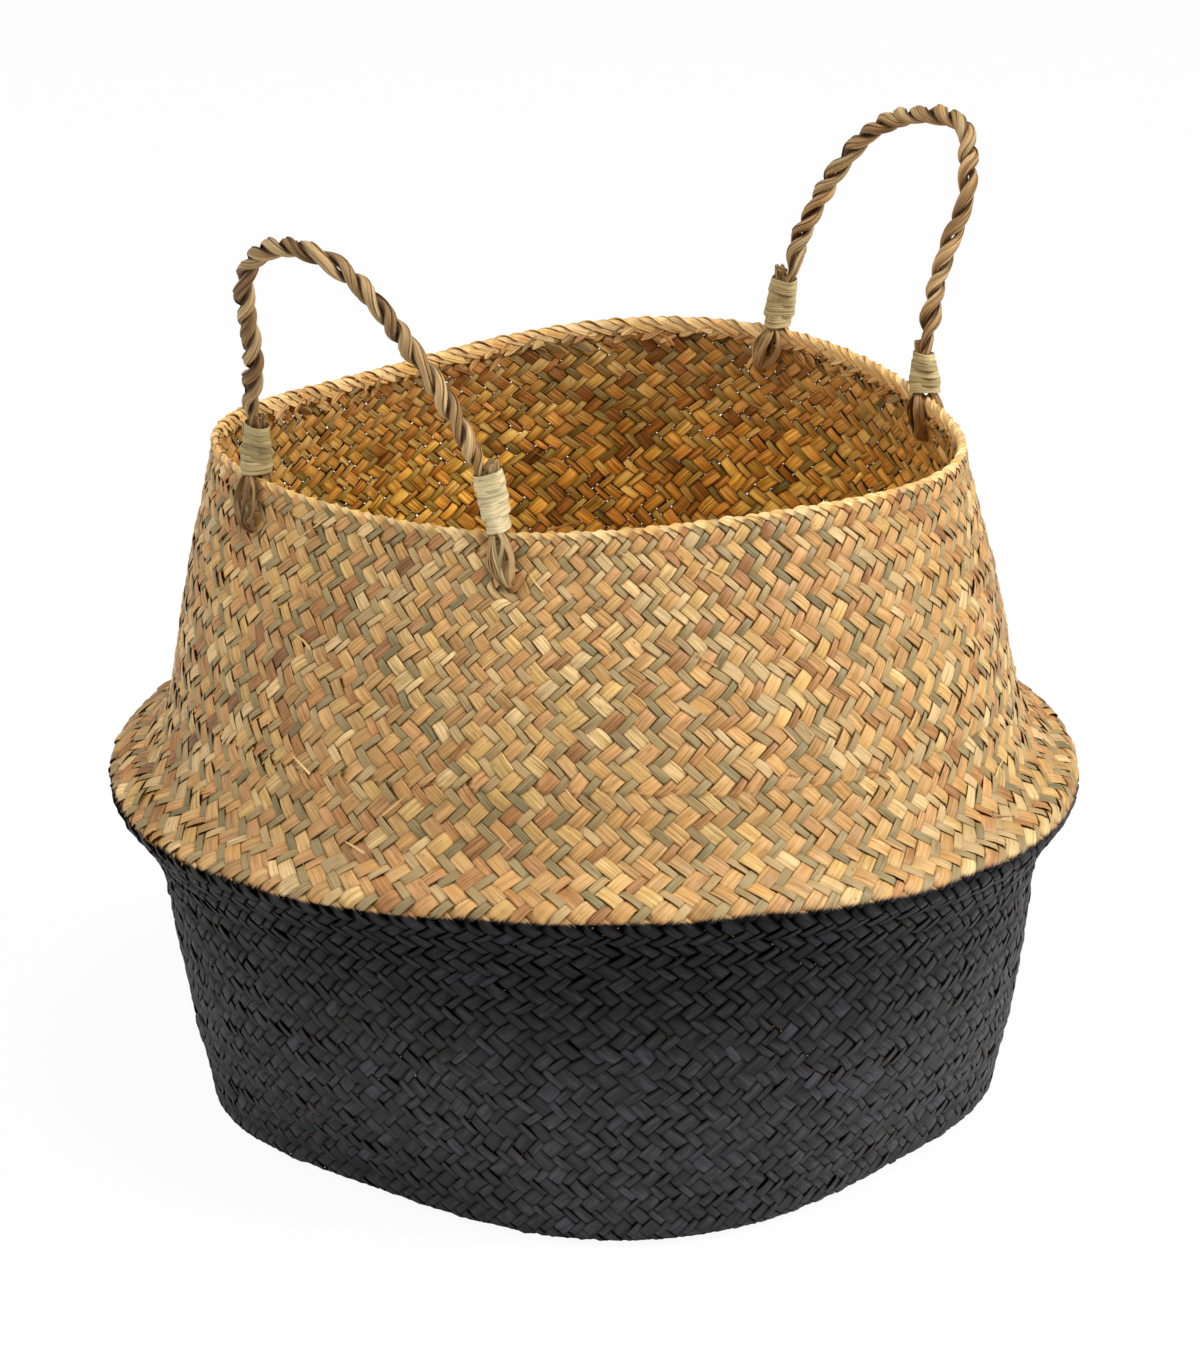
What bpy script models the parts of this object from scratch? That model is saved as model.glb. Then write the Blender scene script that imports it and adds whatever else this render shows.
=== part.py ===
"""Woven belly basket with a folded waist, two rope handles and four raffia lashings.

Metres, +Z up, origin at the middle of the base's underside. The base's square
sides run along X and Y, one handle sits on the -X side and one on the +X side.
The woven sheet is one strip of profile, swept round the axis: a rounded square
at the base, a circle at the fold, and the uneven outline of the mouth at the rim.
"""

import math

import bmesh
import bpy
from mathutils import Matrix, Vector

# Woven sheet, all radii to its outer face
SHEET = 0.003
BASE_RADIUS = 0.1725
BASE_CORNER_SWELL = 0.0100
BASE_SHIFT = 0.008
FOLD_RADIUS = 0.220
FOLD_HEIGHT = 0.1596
WAIST_RADIUS = 0.1895
WAIST_HEIGHT = 0.2065
MOUTH_RADIUS = 0.1604
MOUTH_HEIGHT = 0.3128
MOUTH_SHIFT = 0.015
MOUTH_DIP = 0.0033
FOLD_DIP = 0.0026

# Profile stations, as shares from the base to the fold and on to the waist and mouth
BASE_TO_FOLD_SHARES = (
    (-0.24, 0.0), (-0.07, 0.021), (0.0, 0.094), (0.19, 0.30), (0.36, 0.53),
    (0.52, 0.757), (0.755, 0.895), (0.945, 0.962), (1.0, 1.0))
FOLD_TO_WAIST_SHARES = ((0.10, 0.115), (0.35, 0.22), (0.66, 0.39), (0.875, 0.66), (1.0, 1.0))
WAIST_TO_MOUTH_SHARES = ((0.21, 0.25), (0.48, 0.52), (0.78, 0.78), (1.0, 1.0))

# Outlines of mouth and fold: order, share of MOUTH_SHIFT, MOUTH_DIP or FOLD_DIP, angle of the peak
MOUTH_PLAN_SHARES = ((1, 1.0, 32), (2, 0.33, -43), (3, 0.44, -95), (4, 0.22, -60))
MOUTH_WAVE_SHARES = ((1, 0.67, -54), (2, 0.33, 5), (3, 1.0, -104))
FOLD_WAVE_SHARES = ((1, 0.4, -142), (2, 0.6, 28), (3, 1.0, -22))
BASE_CORNERS = 4
BASE_CORNER_ANGLE = 45
BASE_SHIFT_ANGLE = -97

# Rim border, its section as shares of half the thickness and half the band
RIM_BAND = 0.009
RIM_THICKNESS = 0.0046
RIM_SECTION_SHARES = (
    (1.0, 0.35), (0.72, 0.86), (0.0, 1.0), (-0.72, 0.86), (-1.0, 0.35),
    (-1.0, -0.75), (-0.62, -1.0), (0.62, -1.0), (1.0, -0.75))

# Rope and its ends
ROPE_RADIUS = 0.0043
ROPE_LOBE = 0.0008
ROPE_LAY = 0.038
ROPE_PLIES = 3
BUNDLED_ROPE_RADIUS = 0.0034
BUNDLE_SPREAD = 0.0083
HOLE_DEPTH = 0.022
LEG_LEAN_SHARE = 0.35
HOLE_CLEARANCE = 0.0008
LEG_CLEARANCE = 0.0005
STUB_HEIGHT = 0.003
PAD_HEIGHT = 0.001
BUNDLE_HEIGHT_SHARES = (0.85, 0.65, 0.45, 0.25, 0.08)
LEG_TOP_SHARE = 0.2

# Raffia lashings
LASHING_HEIGHT = 0.025
LASHING_RADIUS = 0.0009
LASHING_CLEARANCE = 0.0011
LASHING_TURNS = 7.5

# Handles
HANDLE_HEIGHT = 0.0963

# Gap between pieces that touch
GAP = 0.0003

# Each end: angle of its hole, share of LASHING_HEIGHT, lean share along the rim
END_SHARES = {
    "near_left": (151, 1.0, 0.06),
    "near_right": (201, 1.12, -0.20),
    "far_left": (9, 1.05, -0.17),
    "far_right": (-30, 0.85, 0.12),
}

# Each handle: its two ends, lean out in degrees, and its arch as shares of chord and height
NEAR_ARCH_SHARES = (
    (0.0, 0.0), (0.0, 0.07), (0.03, 0.14), (0.068, 0.29), (0.085, 0.53), (0.12, 0.73),
    (0.20, 0.875), (0.31, 0.955), (0.43, 0.97), (0.57, 0.92), (0.70, 0.775), (0.80, 0.585),
    (0.89, 0.40), (0.95, 0.205), (0.975, 0.09), (1.0, 0.0))
FAR_ARCH_SHARES = (
    (0.0, 0.0), (-0.03, 0.10), (-0.015, 0.22), (0.06, 0.50), (0.17, 0.715), (0.33, 0.87),
    (0.52, 0.96), (0.70, 1.0), (0.81, 0.975), (0.88, 0.875), (0.95, 0.68), (0.945, 0.485),
    (0.945, 0.29), (0.975, 0.11), (1.0, 0.0))
HANDLES = {
    "near_handle_rope": ("near_left", "near_right", 20, NEAR_ARCH_SHARES),
    "far_handle_rope": ("far_left", "far_right", 18, FAR_ARCH_SHARES),
}

# Counts
SEGMENTS = 64
RINGS_TO_FOLD = 10
RINGS_TO_WAIST = 6
RINGS_TO_MOUTH = 6
ROPE_SIDES = 9
ROPE_RINGS = 54
LEG_SIDES = 8
LEG_RINGS = 26
DOME_RINGS = 2
DOME_END_SHARE = 0.4
LEG_BEND_STEPS = 6
HOLE_SIDES = 16
LASHING_POINTS = 16
SHAPE_STEPS = 400
SLOPE_STEP_SHARE = 0.001
SHARP_ANGLE = 50

# Colours as seen on the woven sheet, the rope and the raffia
NATURAL = (0.55, 0.36, 0.17)
BLACK = (0.018, 0.018, 0.020)
ROPE_BROWN = (0.30, 0.20, 0.12)
RAFFIA = (0.58, 0.50, 0.33)


def clear_scene():
    for item in list(bpy.data.objects):
        bpy.data.objects.remove(item, do_unlink=True)


def material(name, colour, roughness):
    made = bpy.data.materials.new(name)
    made.use_nodes = True
    shader = made.node_tree.nodes["Principled BSDF"]
    shader.inputs["Base Color"].default_value = (*colour, 1.0)
    shader.inputs["Roughness"].default_value = roughness
    shader.inputs["Metallic"].default_value = 0.0
    return made


def mix(a, b, share):
    return a + (b - a) * share


def smooth_step(x):
    x = min(max(x, 0.0), 1.0)
    return x * x * (3 - 2 * x)


def through(points, position):
    """Catmull-Rom curve through the points; position counts points from 0."""
    last = len(points) - 1
    i = min(max(int(position), 0), last - 1)
    t = position - i
    before = points[i - 1] if i > 0 else points[0] * 2 - points[1]
    after = points[i + 2] if i + 2 <= last else points[last] * 2 - points[last - 1]
    a, b = points[i], points[i + 1]
    return 0.5 * (2 * a + (b - before) * t + (2 * before - 5 * a + 4 * b - after) * t ** 2
                  + (3 * a - before - 3 * b + after) * t ** 3)


def profile_stations():
    """Middle of the sheet as (radius, height), from the flat base to the rim's top."""
    half = SHEET / 2
    fold = Vector((FOLD_RADIUS - half, FOLD_HEIGHT))
    waist = Vector((WAIST_RADIUS - half, WAIST_HEIGHT))
    mouth = Vector((MOUTH_RADIUS - half, MOUTH_HEIGHT))
    base = Vector((BASE_RADIUS - half, half))
    stations = []
    for start, end, table in ((base, fold, BASE_TO_FOLD_SHARES), (fold, waist, FOLD_TO_WAIST_SHARES),
                              (waist, mouth, WAIST_TO_MOUTH_SHARES)):
        for radius_share, height_share in table:
            stations.append(Vector((mix(start.x, end.x, radius_share), mix(start.y, end.y, height_share))))
    return stations


STATIONS = profile_stations()
FOLD_INDEX = len(BASE_TO_FOLD_SHARES) - 1
WAIST_INDEX = FOLD_INDEX + len(FOLD_TO_WAIST_SHARES)
MOUTH_INDEX = WAIST_INDEX + len(WAIST_TO_MOUTH_SHARES)


def waves(table, angle):
    degrees = math.degrees(angle)
    return sum(share * math.cos(order * math.radians(degrees - peak)) for order, share, peak in table)


def sheet_point(angle, position):
    """Point on the middle of the sheet at this angle and profile position."""
    station = through(STATIONS, position)
    radius, height = station.x, station.y
    if height < FOLD_HEIGHT:
        share = 1 - height / FOLD_HEIGHT
        corner_turn = angle - math.radians(BASE_CORNER_ANGLE)
        radius += BASE_CORNER_SWELL * share * math.cos(BASE_CORNERS * corner_turn)
        off_centre = BASE_SHIFT * share * (2 - share)
        radius += off_centre * math.cos(angle - math.radians(BASE_SHIFT_ANGLE))
        height += FOLD_DIP * smooth_step(1 - share) * waves(FOLD_WAVE_SHARES, angle)
    else:
        share = (MOUTH_HEIGHT - height) / (MOUTH_HEIGHT - FOLD_HEIGHT)
        height += FOLD_DIP * smooth_step(share) * waves(FOLD_WAVE_SHARES, angle)
    if station.y > WAIST_HEIGHT:
        share = (station.y - WAIST_HEIGHT) / (MOUTH_HEIGHT - WAIST_HEIGHT)
        radius += MOUTH_SHIFT * share * waves(MOUTH_PLAN_SHARES, angle)
        height += MOUTH_DIP * share * waves(MOUTH_WAVE_SHARES, angle)
    return Vector((radius * math.cos(angle), radius * math.sin(angle), height))


def sheet_frame(angle, position):
    """Point, direction round the basket, direction up the sheet and outward normal."""
    step = SLOPE_STEP_SHARE
    low, high = max(position - step, 0.0), min(position + step, float(MOUTH_INDEX))
    up = (sheet_point(angle, high) - sheet_point(angle, low)).normalized()
    along = (sheet_point(angle + step, position) - sheet_point(angle - step, position)).normalized()
    return sheet_point(angle, position), along, up, along.cross(up).normalized()


def position_at(start, length):
    """Profile position that lies this length along the mean profile from start."""
    direction = 1 if length > 0 else -1
    position, travelled = float(start), 0.0
    here = through(STATIONS, position)
    step = 1 / SHAPE_STEPS
    while travelled < abs(length):
        position += direction * step
        there = through(STATIONS, position)
        travelled += (there - here).length
        here = there
    return position


def add_object(name, mesh_data, look, parent, origin=None):
    bmesh.ops.recalc_face_normals(mesh_data, faces=mesh_data.faces)
    if origin is not None:
        bmesh.ops.translate(mesh_data, verts=mesh_data.verts, vec=-origin)
    mesh = bpy.data.meshes.new(name)
    mesh_data.to_mesh(mesh)
    mesh_data.free()
    mesh.shade_smooth()
    mesh.set_sharp_from_angle(angle=math.radians(SHARP_ANGLE))
    made = bpy.data.objects.new(name, mesh)
    if origin is not None:
        made.location = origin
    made.parent = parent
    made.data.materials.append(look)
    bpy.context.scene.collection.objects.link(made)
    return made


def skin(mesh_data, rings, closed_up=False):
    """Quads between neighbouring rings of points; closed_up joins the last ring to the first."""
    made = [[mesh_data.verts.new(point) for point in ring] for ring in rings]
    pairs = list(zip(made, made[1:]))
    if closed_up:
        pairs.append((made[-1], made[0]))
    for low, high in pairs:
        for i, corner in enumerate(low):
            after = (i + 1) % len(low)
            mesh_data.faces.new((corner, low[after], high[after], high[i]))
    return made


def tube(mesh_data, rings):
    """Closed tube through rings of points, with flat ends."""
    made = skin(mesh_data, rings)
    mesh_data.faces.new(made[0][::-1])
    mesh_data.faces.new(made[-1])


def turn_angles():
    return [2 * math.pi * i / SEGMENTS for i in range(SEGMENTS)]


def sheet_shell(start, end, ring_count):
    """Rings of a closed shell: up the outer face, then down the inner one."""
    positions = [mix(start, end, i / ring_count) for i in range(ring_count + 1)]
    outer, inner = [], []
    for position in positions:
        frames = [sheet_frame(angle, position) for angle in turn_angles()]
        outer.append([point + normal * SHEET / 2 for point, *_, normal in frames])
        inner.append([point - normal * SHEET / 2 for point, *_, normal in frames])
    return outer + inner[::-1]


def zone(name, start, end, ring_count, look, parent):
    mesh_data = bmesh.new()
    skin(mesh_data, sheet_shell(start, end, ring_count), closed_up=True)
    return add_object(name, mesh_data, look, parent)


def ground_point(angle):
    """The bottom edge of the wall, on the ground plane."""
    point = sheet_point(angle, 0.0)
    return Vector((point.x, point.y, 0.0))


def woven_base(look, parent):
    """Flat mat whose outline follows the bottom edge of the wall, one gap inside it."""
    mesh_data = bmesh.new()
    rings = []
    for height in (0.0, SHEET):
        ring = []
        for angle in turn_angles():
            edge = ground_point(angle)
            ring.append(edge * (1 - GAP / edge.length) + Vector((0, 0, height)))
        rings.append(ring)
    tube(mesh_data, rings)
    return add_object("woven_base", mesh_data, look, parent)


def lower_wall(look, parent):
    """Black wall from the base's edge up to the fold, standing flat on the ground."""
    mesh_data = bmesh.new()
    rings = sheet_shell(0.0, float(FOLD_INDEX), RINGS_TO_FOLD)
    for i, angle in enumerate(turn_angles()):
        rings[0][i] = ground_point(angle)
        rings[-1][i] = ground_point(angle) + Vector((0, 0, SHEET))
    skin(mesh_data, rings, closed_up=True)
    return add_object("lower_wall", mesh_data, look, parent)


def rim_border(look, parent):
    """Folded edge band, a rounded section carried round the mouth."""
    middle = (position_at(MOUTH_INDEX, -RIM_BAND) + MOUTH_INDEX) / 2
    half_band = RIM_BAND / 2
    half_thick = RIM_THICKNESS / 2
    rings = []
    for across_share, up_share in RIM_SECTION_SHARES:
        ring = []
        for angle in turn_angles():
            point, _, up, normal = sheet_frame(angle, middle)
            ring.append(point + normal * half_thick * across_share + up * half_band * up_share)
        rings.append(ring)
    mesh_data = bmesh.new()
    skin(mesh_data, rings, closed_up=True)
    return add_object("rim_border", mesh_data, look, parent)


def end_frame(name):
    """Rim point of a rope end with its directions: along the rim, out, down the wall, up."""
    degrees, height_share, lean_share = END_SHARES[name]
    angle = math.radians(degrees)
    top, along, *_ = sheet_frame(angle, float(MOUTH_INDEX))
    lean = LEG_LEAN_SHARE * HOLE_DEPTH / MOUTH_RADIUS
    low = sheet_point(angle + lean, position_at(MOUTH_INDEX, -HOLE_DEPTH))
    down = (low - top).normalized()
    outward = down.cross(along).normalized()
    rise = (Vector((0, 0, 1)) + along * lean_share).normalized()
    sideways = (along - rise * along.dot(rise)).normalized()
    front = sideways.cross(rise).normalized()
    return {"top": top, "along": along, "down": down, "outward": outward, "rise": rise,
            "sideways": sideways, "front": front, "lashing": LASHING_HEIGHT * height_share}


def leg_offset():
    return RIM_THICKNESS / 2 + LEG_CLEARANCE + BUNDLED_ROPE_RADIUS


def bundle_half_spread(frame, height):
    share = smooth_step(height / frame["lashing"])
    return mix(leg_offset(), BUNDLE_SPREAD / 2, share)


def bundle_turn(frame, height):
    """The two runs of rope lie across the rim at its top and along it at the lashing's top."""
    return math.pi / 2 * smooth_step(height / frame["lashing"])


def above_rim(frame, height, long_way, short_way=0.0):
    """Point of the bundle: long_way runs from the stub to the standing rope, short_way across."""
    turn = bundle_turn(frame, height)
    sideways = short_way * math.cos(turn) - long_way * math.sin(turn)
    front = long_way * math.cos(turn) + short_way * math.sin(turn)
    return frame["top"] + frame["sideways"] * sideways + frame["front"] * front + frame["rise"] * height


def bundle_point(frame, height, run):
    """Centre of a run of rope in the lashing; run is 1 for the standing rope, -1 for its stub."""
    return above_rim(frame, height, run * bundle_half_spread(frame, height))


def below_rim(frame, outward, depth):
    return frame["top"] + frame["outward"] * outward + frame["down"] * depth


def rope_end_route(frame):
    """From the standing rope's pad down outside, through the hole, up inside to the stub."""
    lashing = frame["lashing"]
    offset = leg_offset()
    bend = HOLE_DEPTH - offset
    heights = [lashing * share for share in BUNDLE_HEIGHT_SHARES]
    depths = [HOLE_DEPTH * LEG_TOP_SHARE, bend]
    route = [bundle_point(frame, height, 1) for height in [lashing + PAD_HEIGHT] + heights]
    route += [below_rim(frame, offset, depth) for depth in depths]
    for i in range(1, LEG_BEND_STEPS):
        turn = math.pi * i / LEG_BEND_STEPS
        route.append(below_rim(frame, offset * math.cos(turn), bend + offset * math.sin(turn)))
    route += [below_rim(frame, -offset, depth) for depth in reversed(depths)]
    route += [bundle_point(frame, height, -1) for height in heights[::-1] + [lashing + STUB_HEIGHT]]
    return route


def even_points(route, count):
    """Points at even steps along the smooth curve through the route, and its length."""
    dense = [through(route, (len(route) - 1) * i / SHAPE_STEPS) for i in range(SHAPE_STEPS + 1)]
    lengths = [0.0]
    for a, b in zip(dense, dense[1:]):
        lengths.append(lengths[-1] + (b - a).length)
    points, j = [], 0
    for i in range(count + 1):
        target = lengths[-1] * i / count
        while j < SHAPE_STEPS - 1 and lengths[j + 1] < target:
            j += 1
        share = (target - lengths[j]) / (lengths[j + 1] - lengths[j])
        points.append(dense[j].lerp(dense[j + 1], share))
    return points, lengths[-1]


def carried_frames(points, start_side):
    """Side vectors carried along the points without twist."""
    frames = []
    side = start_side
    for i, point in enumerate(points):
        ahead = points[min(i + 1, len(points) - 1)]
        behind = points[max(i - 1, 0)]
        forward = (ahead - behind).normalized()
        side = (side - forward * side.dot(forward)).normalized()
        frames.append((point, forward, side, forward.cross(side)))
    return frames


def section(frame, radius, sides, lobe=0.0, twist=0.0):
    point, forward, side, other = frame
    ring = []
    for i in range(sides):
        turn = 2 * math.pi * i / sides
        reach = radius - lobe * (1 - math.cos(ROPE_PLIES * turn)) / 2
        ring.append(point + (side * math.cos(turn + twist) + other * math.sin(turn + twist)) * reach)
    return ring


def rope_end(name, look, parent):
    """Rope end with its two legs through the wall, bundled above the rim, cut square."""
    frame = end_frame(name)
    points, _ = even_points(rope_end_route(frame), LEG_RINGS)
    frames = carried_frames(points, frame["sideways"])
    mesh_data = bmesh.new()
    tube(mesh_data, [section(item, BUNDLED_ROPE_RADIUS, LEG_SIDES) for item in frames])
    return add_object(name + "_rope_end", mesh_data, look, parent)


def hole_cutter(name, look, parent):
    """Round hole for the rope, square through the wall."""
    frame = end_frame(name)
    radius = BUNDLED_ROPE_RADIUS + HOLE_CLEARANCE
    mesh_data = bmesh.new()
    bmesh.ops.create_cone(mesh_data, cap_ends=True, segments=HOLE_SIDES, radius1=radius, radius2=radius,
                          depth=4 * SHEET)
    turned = Vector((0, 0, 1)).rotation_difference(frame["outward"]).to_matrix().to_4x4()
    centre = below_rim(frame, 0.0, HOLE_DEPTH)
    bmesh.ops.transform(mesh_data, matrix=Matrix.Translation(centre) @ turned, verts=mesh_data.verts)
    made = add_object(name + "_hole_cutter", mesh_data, look, parent)
    made.hide_render = True
    made.display_type = "WIRE"
    return made


def upper_wall(look, parent):
    """Natural wall from the waist to the rim border, with four holes for the rope."""
    start = position_at(WAIST_INDEX, GAP)
    end = position_at(MOUTH_INDEX, -(RIM_BAND + GAP))
    wall = zone("upper_wall", start, end, RINGS_TO_MOUTH, look, parent)
    for name in END_SHARES:
        cut = wall.modifiers.new("hole_" + name, "BOOLEAN")
        cut.operation = "DIFFERENCE"
        cut.object = hole_cutter(name, look, parent)
    return wall


def lashing_route(frame):
    """One flattened helix round the two runs of rope, with a short straight run at each end."""
    reach = BUNDLED_ROPE_RADIUS + LASHING_CLEARANCE + LASHING_RADIUS
    low = 2 * LASHING_RADIUS
    high = frame["lashing"] - LASHING_RADIUS
    count = int(LASHING_TURNS * LASHING_POINTS)
    points = []
    for i in range(count + 1):
        turn = 2 * math.pi * i / LASHING_POINTS
        height = mix(low, high, i / count)
        spread = bundle_half_spread(frame, height)
        long_way = spread * math.tanh(3 * math.cos(turn)) + reach * math.cos(turn)
        short_way = reach * math.sin(turn)
        points.append(above_rim(frame, height, long_way, short_way))
    first = points[0] + (points[0] - points[1]).normalized() * 2 * LASHING_RADIUS
    last = points[-1] + (points[-1] - points[-2]).normalized() * 2 * LASHING_RADIUS
    return [first] + points + [last]


def least_gap(points):
    """Least distance between faces of two turns, measured between points on the winding."""
    apart = LASHING_POINTS // 2
    least = min((a - b).length for i, a in enumerate(points) for b in points[i + apart:])
    return least - 2 * LASHING_RADIUS


def lashing(name, look, parent):
    """Raffia winding as one unbroken tube."""
    points = lashing_route(end_frame(name))
    print(name, "lashing: least gap between turns %.2f mm" % (least_gap(points) * 1000))
    curve = bpy.data.curves.new(name + "_lashing", "CURVE")
    curve.dimensions = "3D"
    curve.bevel_depth = LASHING_RADIUS
    curve.bevel_resolution = 1
    curve.use_fill_caps = True
    spline = curve.splines.new("POLY")
    spline.points.add(len(points) - 1)
    for place, point in zip(spline.points, points):
        place.co = (*point, 1.0)
    curve.materials.append(look)
    made = bpy.data.objects.new(name + "_lashing", curve)
    made.parent = parent
    bpy.context.scene.collection.objects.link(made)
    return made


def pivot(name):
    """Where the handle rope bends, just above the pad of its end."""
    frame = end_frame(name)
    height = frame["lashing"] + PAD_HEIGHT + GAP + ROPE_RADIUS
    return above_rim(frame, height, BUNDLE_SPREAD / 2)


def handle_hinge(name):
    """Middle and direction of the line through both pivots; turning about it tips outward."""
    first, second, *_ = HANDLES[name]
    a, b = pivot(first), pivot(second)
    chord = b - a
    outward = chord.cross(Vector((0, 0, 1))).normalized()
    if outward.dot(a + b) < 0:
        outward = -outward
    axis = Vector((0, 0, 1)).cross(outward).normalized()
    if axis.dot(chord) < 0:
        chord = -chord
    return (a + b) / 2, chord.normalized(), outward


def dome(frame, direction, radius, twist):
    """Rings of the rounded end that sits on a pivot, from the rope's last ring outwards."""
    point, forward, side, other = frame
    rings = []
    for i in range(1, DOME_RINGS + 1):
        bend = math.pi / 2 * i / (DOME_RINGS + DOME_END_SHARE)
        centre = point + forward * direction * radius * math.sin(bend)
        rings.append(section((centre, forward, side, other), radius * math.cos(bend), ROPE_SIDES, 0.0, twist))
    return rings


def handle_rope(name, look, parent):
    """Arch of laid rope: three lobes turning along it, with a dome at each pivot."""
    first, second, lean, arch = HANDLES[name]
    middle, axis, outward = handle_hinge(name)
    a, b = pivot(first), pivot(second)
    chord = b - a
    upright = (Vector((0, 0, 1)) - axis * axis.z).normalized()
    tilt = math.radians(lean)
    rise = upright * math.cos(tilt) + outward * math.sin(tilt)
    route = [a + chord * along_share + rise * HANDLE_HEIGHT * up_share for along_share, up_share in arch]
    points, length = even_points(route, ROPE_RINGS)
    frames = carried_frames(points, outward)
    root_radius = ROPE_RADIUS - GAP
    rings = dome(frames[0], -1, root_radius, 0.0)[::-1]
    for i, item in enumerate(frames):
        along = length * i / ROPE_RINGS
        to_end = min(along, length - along)
        full = smooth_step(to_end / (2 * ROPE_RADIUS))
        twist = 2 * math.pi * along / ROPE_LAY
        rings.append(section(item, mix(root_radius, ROPE_RADIUS, full), ROPE_SIDES, ROPE_LOBE * full, twist))
    rings += dome(frames[-1], 1, root_radius, 2 * math.pi * length / ROPE_LAY)
    mesh_data = bmesh.new()
    tube(mesh_data, rings)
    return add_object(name, mesh_data, look, parent, origin=middle)


def empty(name):
    made = bpy.data.objects.new(name, None)
    bpy.context.scene.collection.objects.link(made)
    return made


def build():
    clear_scene()
    black = material("black dyed seagrass", BLACK, 0.62)
    natural = material("natural seagrass", NATURAL, 0.66)
    rope = material("twisted seagrass rope", ROPE_BROWN, 0.75)
    raffia = material("raffia", RAFFIA, 0.55)
    lower = empty("lower_basket")
    upper = empty("upper_basket")
    woven_base(black, lower)
    lower_wall(black, lower)
    fold_start = position_at(FOLD_INDEX, GAP)
    zone("belly_fold", fold_start, float(WAIST_INDEX), RINGS_TO_WAIST, natural, lower)
    upper_wall(natural, upper)
    rim_border(natural, upper)
    for name in END_SHARES:
        rope_end(name, rope, upper)
        lashing(name, raffia, upper)
    for name in HANDLES:
        handle_rope(name, rope, upper)


build()
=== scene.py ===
"""Looks of the woven belly basket: plaited seagrass, rim wraps, laid ropes and raffia lashings.

The weave is real strand geometry on the same sheet as the CAD part. Strand positions
are counted in cells: u round the basket, w up the sheet, with w = 1.5 at the mouth.
"""

import math

import bpy
import numpy as np
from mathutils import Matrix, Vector


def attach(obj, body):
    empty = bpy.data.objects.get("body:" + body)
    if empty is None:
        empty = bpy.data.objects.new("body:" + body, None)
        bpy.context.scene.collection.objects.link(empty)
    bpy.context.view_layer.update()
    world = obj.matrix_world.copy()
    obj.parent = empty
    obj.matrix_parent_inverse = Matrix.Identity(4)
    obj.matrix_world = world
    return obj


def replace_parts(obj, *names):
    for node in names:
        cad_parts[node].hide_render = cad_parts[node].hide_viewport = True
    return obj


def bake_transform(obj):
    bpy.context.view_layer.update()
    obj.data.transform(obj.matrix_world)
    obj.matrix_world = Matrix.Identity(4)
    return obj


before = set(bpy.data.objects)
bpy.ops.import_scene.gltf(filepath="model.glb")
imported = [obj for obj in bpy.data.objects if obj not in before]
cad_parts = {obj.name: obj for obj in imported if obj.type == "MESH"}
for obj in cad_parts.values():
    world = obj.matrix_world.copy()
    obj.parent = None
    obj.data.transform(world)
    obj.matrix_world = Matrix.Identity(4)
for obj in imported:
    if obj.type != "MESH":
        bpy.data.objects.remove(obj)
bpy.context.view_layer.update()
rng = np.random.default_rng(20)

# The sheet, as in the part's source
SHEET = 0.003
BASE_RADIUS = 0.1725
BASE_CORNER_SWELL = 0.0100
BASE_SHIFT = 0.008
FOLD_RADIUS = 0.220
FOLD_HEIGHT = 0.1596
WAIST_RADIUS = 0.1895
WAIST_HEIGHT = 0.2065
MOUTH_RADIUS = 0.1604
MOUTH_HEIGHT = 0.3128
MOUTH_SHIFT = 0.015
MOUTH_DIP = 0.0033
FOLD_DIP = 0.0026
BASE_TO_FOLD = (
    (-0.24, 0.0), (-0.07, 0.021), (0.0, 0.094), (0.19, 0.30), (0.36, 0.53),
    (0.52, 0.757), (0.755, 0.895), (0.945, 0.962), (1.0, 1.0))
FOLD_TO_WAIST = ((0.10, 0.115), (0.35, 0.22), (0.66, 0.39), (0.875, 0.66), (1.0, 1.0))
WAIST_TO_MOUTH = ((0.21, 0.25), (0.48, 0.52), (0.78, 0.78), (1.0, 1.0))
MOUTH_PLAN = ((1, 1.0, 32), (2, 0.33, -43), (3, 0.44, -95), (4, 0.22, -60))
MOUTH_WAVE = ((1, 0.67, -54), (2, 0.33, 5), (3, 1.0, -104))
FOLD_WAVE = ((1, 0.4, -142), (2, 0.6, 28), (3, 1.0, -22))
BASE_CORNER_ANGLE = 45
BASE_SHIFT_ANGLE = -97
RIM_BAND = 0.009
RIM_THICKNESS = 0.0046

# Rope ends and handles, as in the part's source
ROPE_RADIUS = 0.0043
BUNDLE_SPREAD = 0.0083
HOLE_DEPTH = 0.022
HOLE_RADIUS = 0.0038
LEG_LEAN = 0.35
STUB_HEIGHT = 0.003
PAD_HEIGHT = 0.001
LASHING_HEIGHT = 0.025
HANDLE_HEIGHT = 0.0963
GAP = 0.0003
ENDS = {
    "near_left": (151, 1.0, 0.06),
    "near_right": (201, 1.12, -0.20),
    "far_left": (9, 1.05, -0.17),
    "far_right": (-30, 0.85, 0.12),
}
NEAR_ARCH = (
    (0.0, 0.0), (0.0, 0.07), (0.03, 0.14), (0.068, 0.29), (0.085, 0.53), (0.12, 0.73),
    (0.20, 0.875), (0.31, 0.955), (0.43, 0.97), (0.57, 0.92), (0.70, 0.775), (0.80, 0.585),
    (0.89, 0.40), (0.95, 0.205), (0.975, 0.09), (1.0, 0.0))
FAR_ARCH = (
    (0.0, 0.0), (-0.03, 0.10), (-0.015, 0.22), (0.06, 0.50), (0.17, 0.715), (0.33, 0.87),
    (0.52, 0.96), (0.70, 1.0), (0.81, 0.975), (0.88, 0.875), (0.95, 0.68), (0.945, 0.485),
    (0.945, 0.29), (0.975, 0.11), (1.0, 0.0))
HANDLES = {
    "near_handle": ("near_left", "near_right", 20, NEAR_ARCH),
    "far_handle": ("far_left", "far_right", 18, FAR_ARCH),
}

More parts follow.
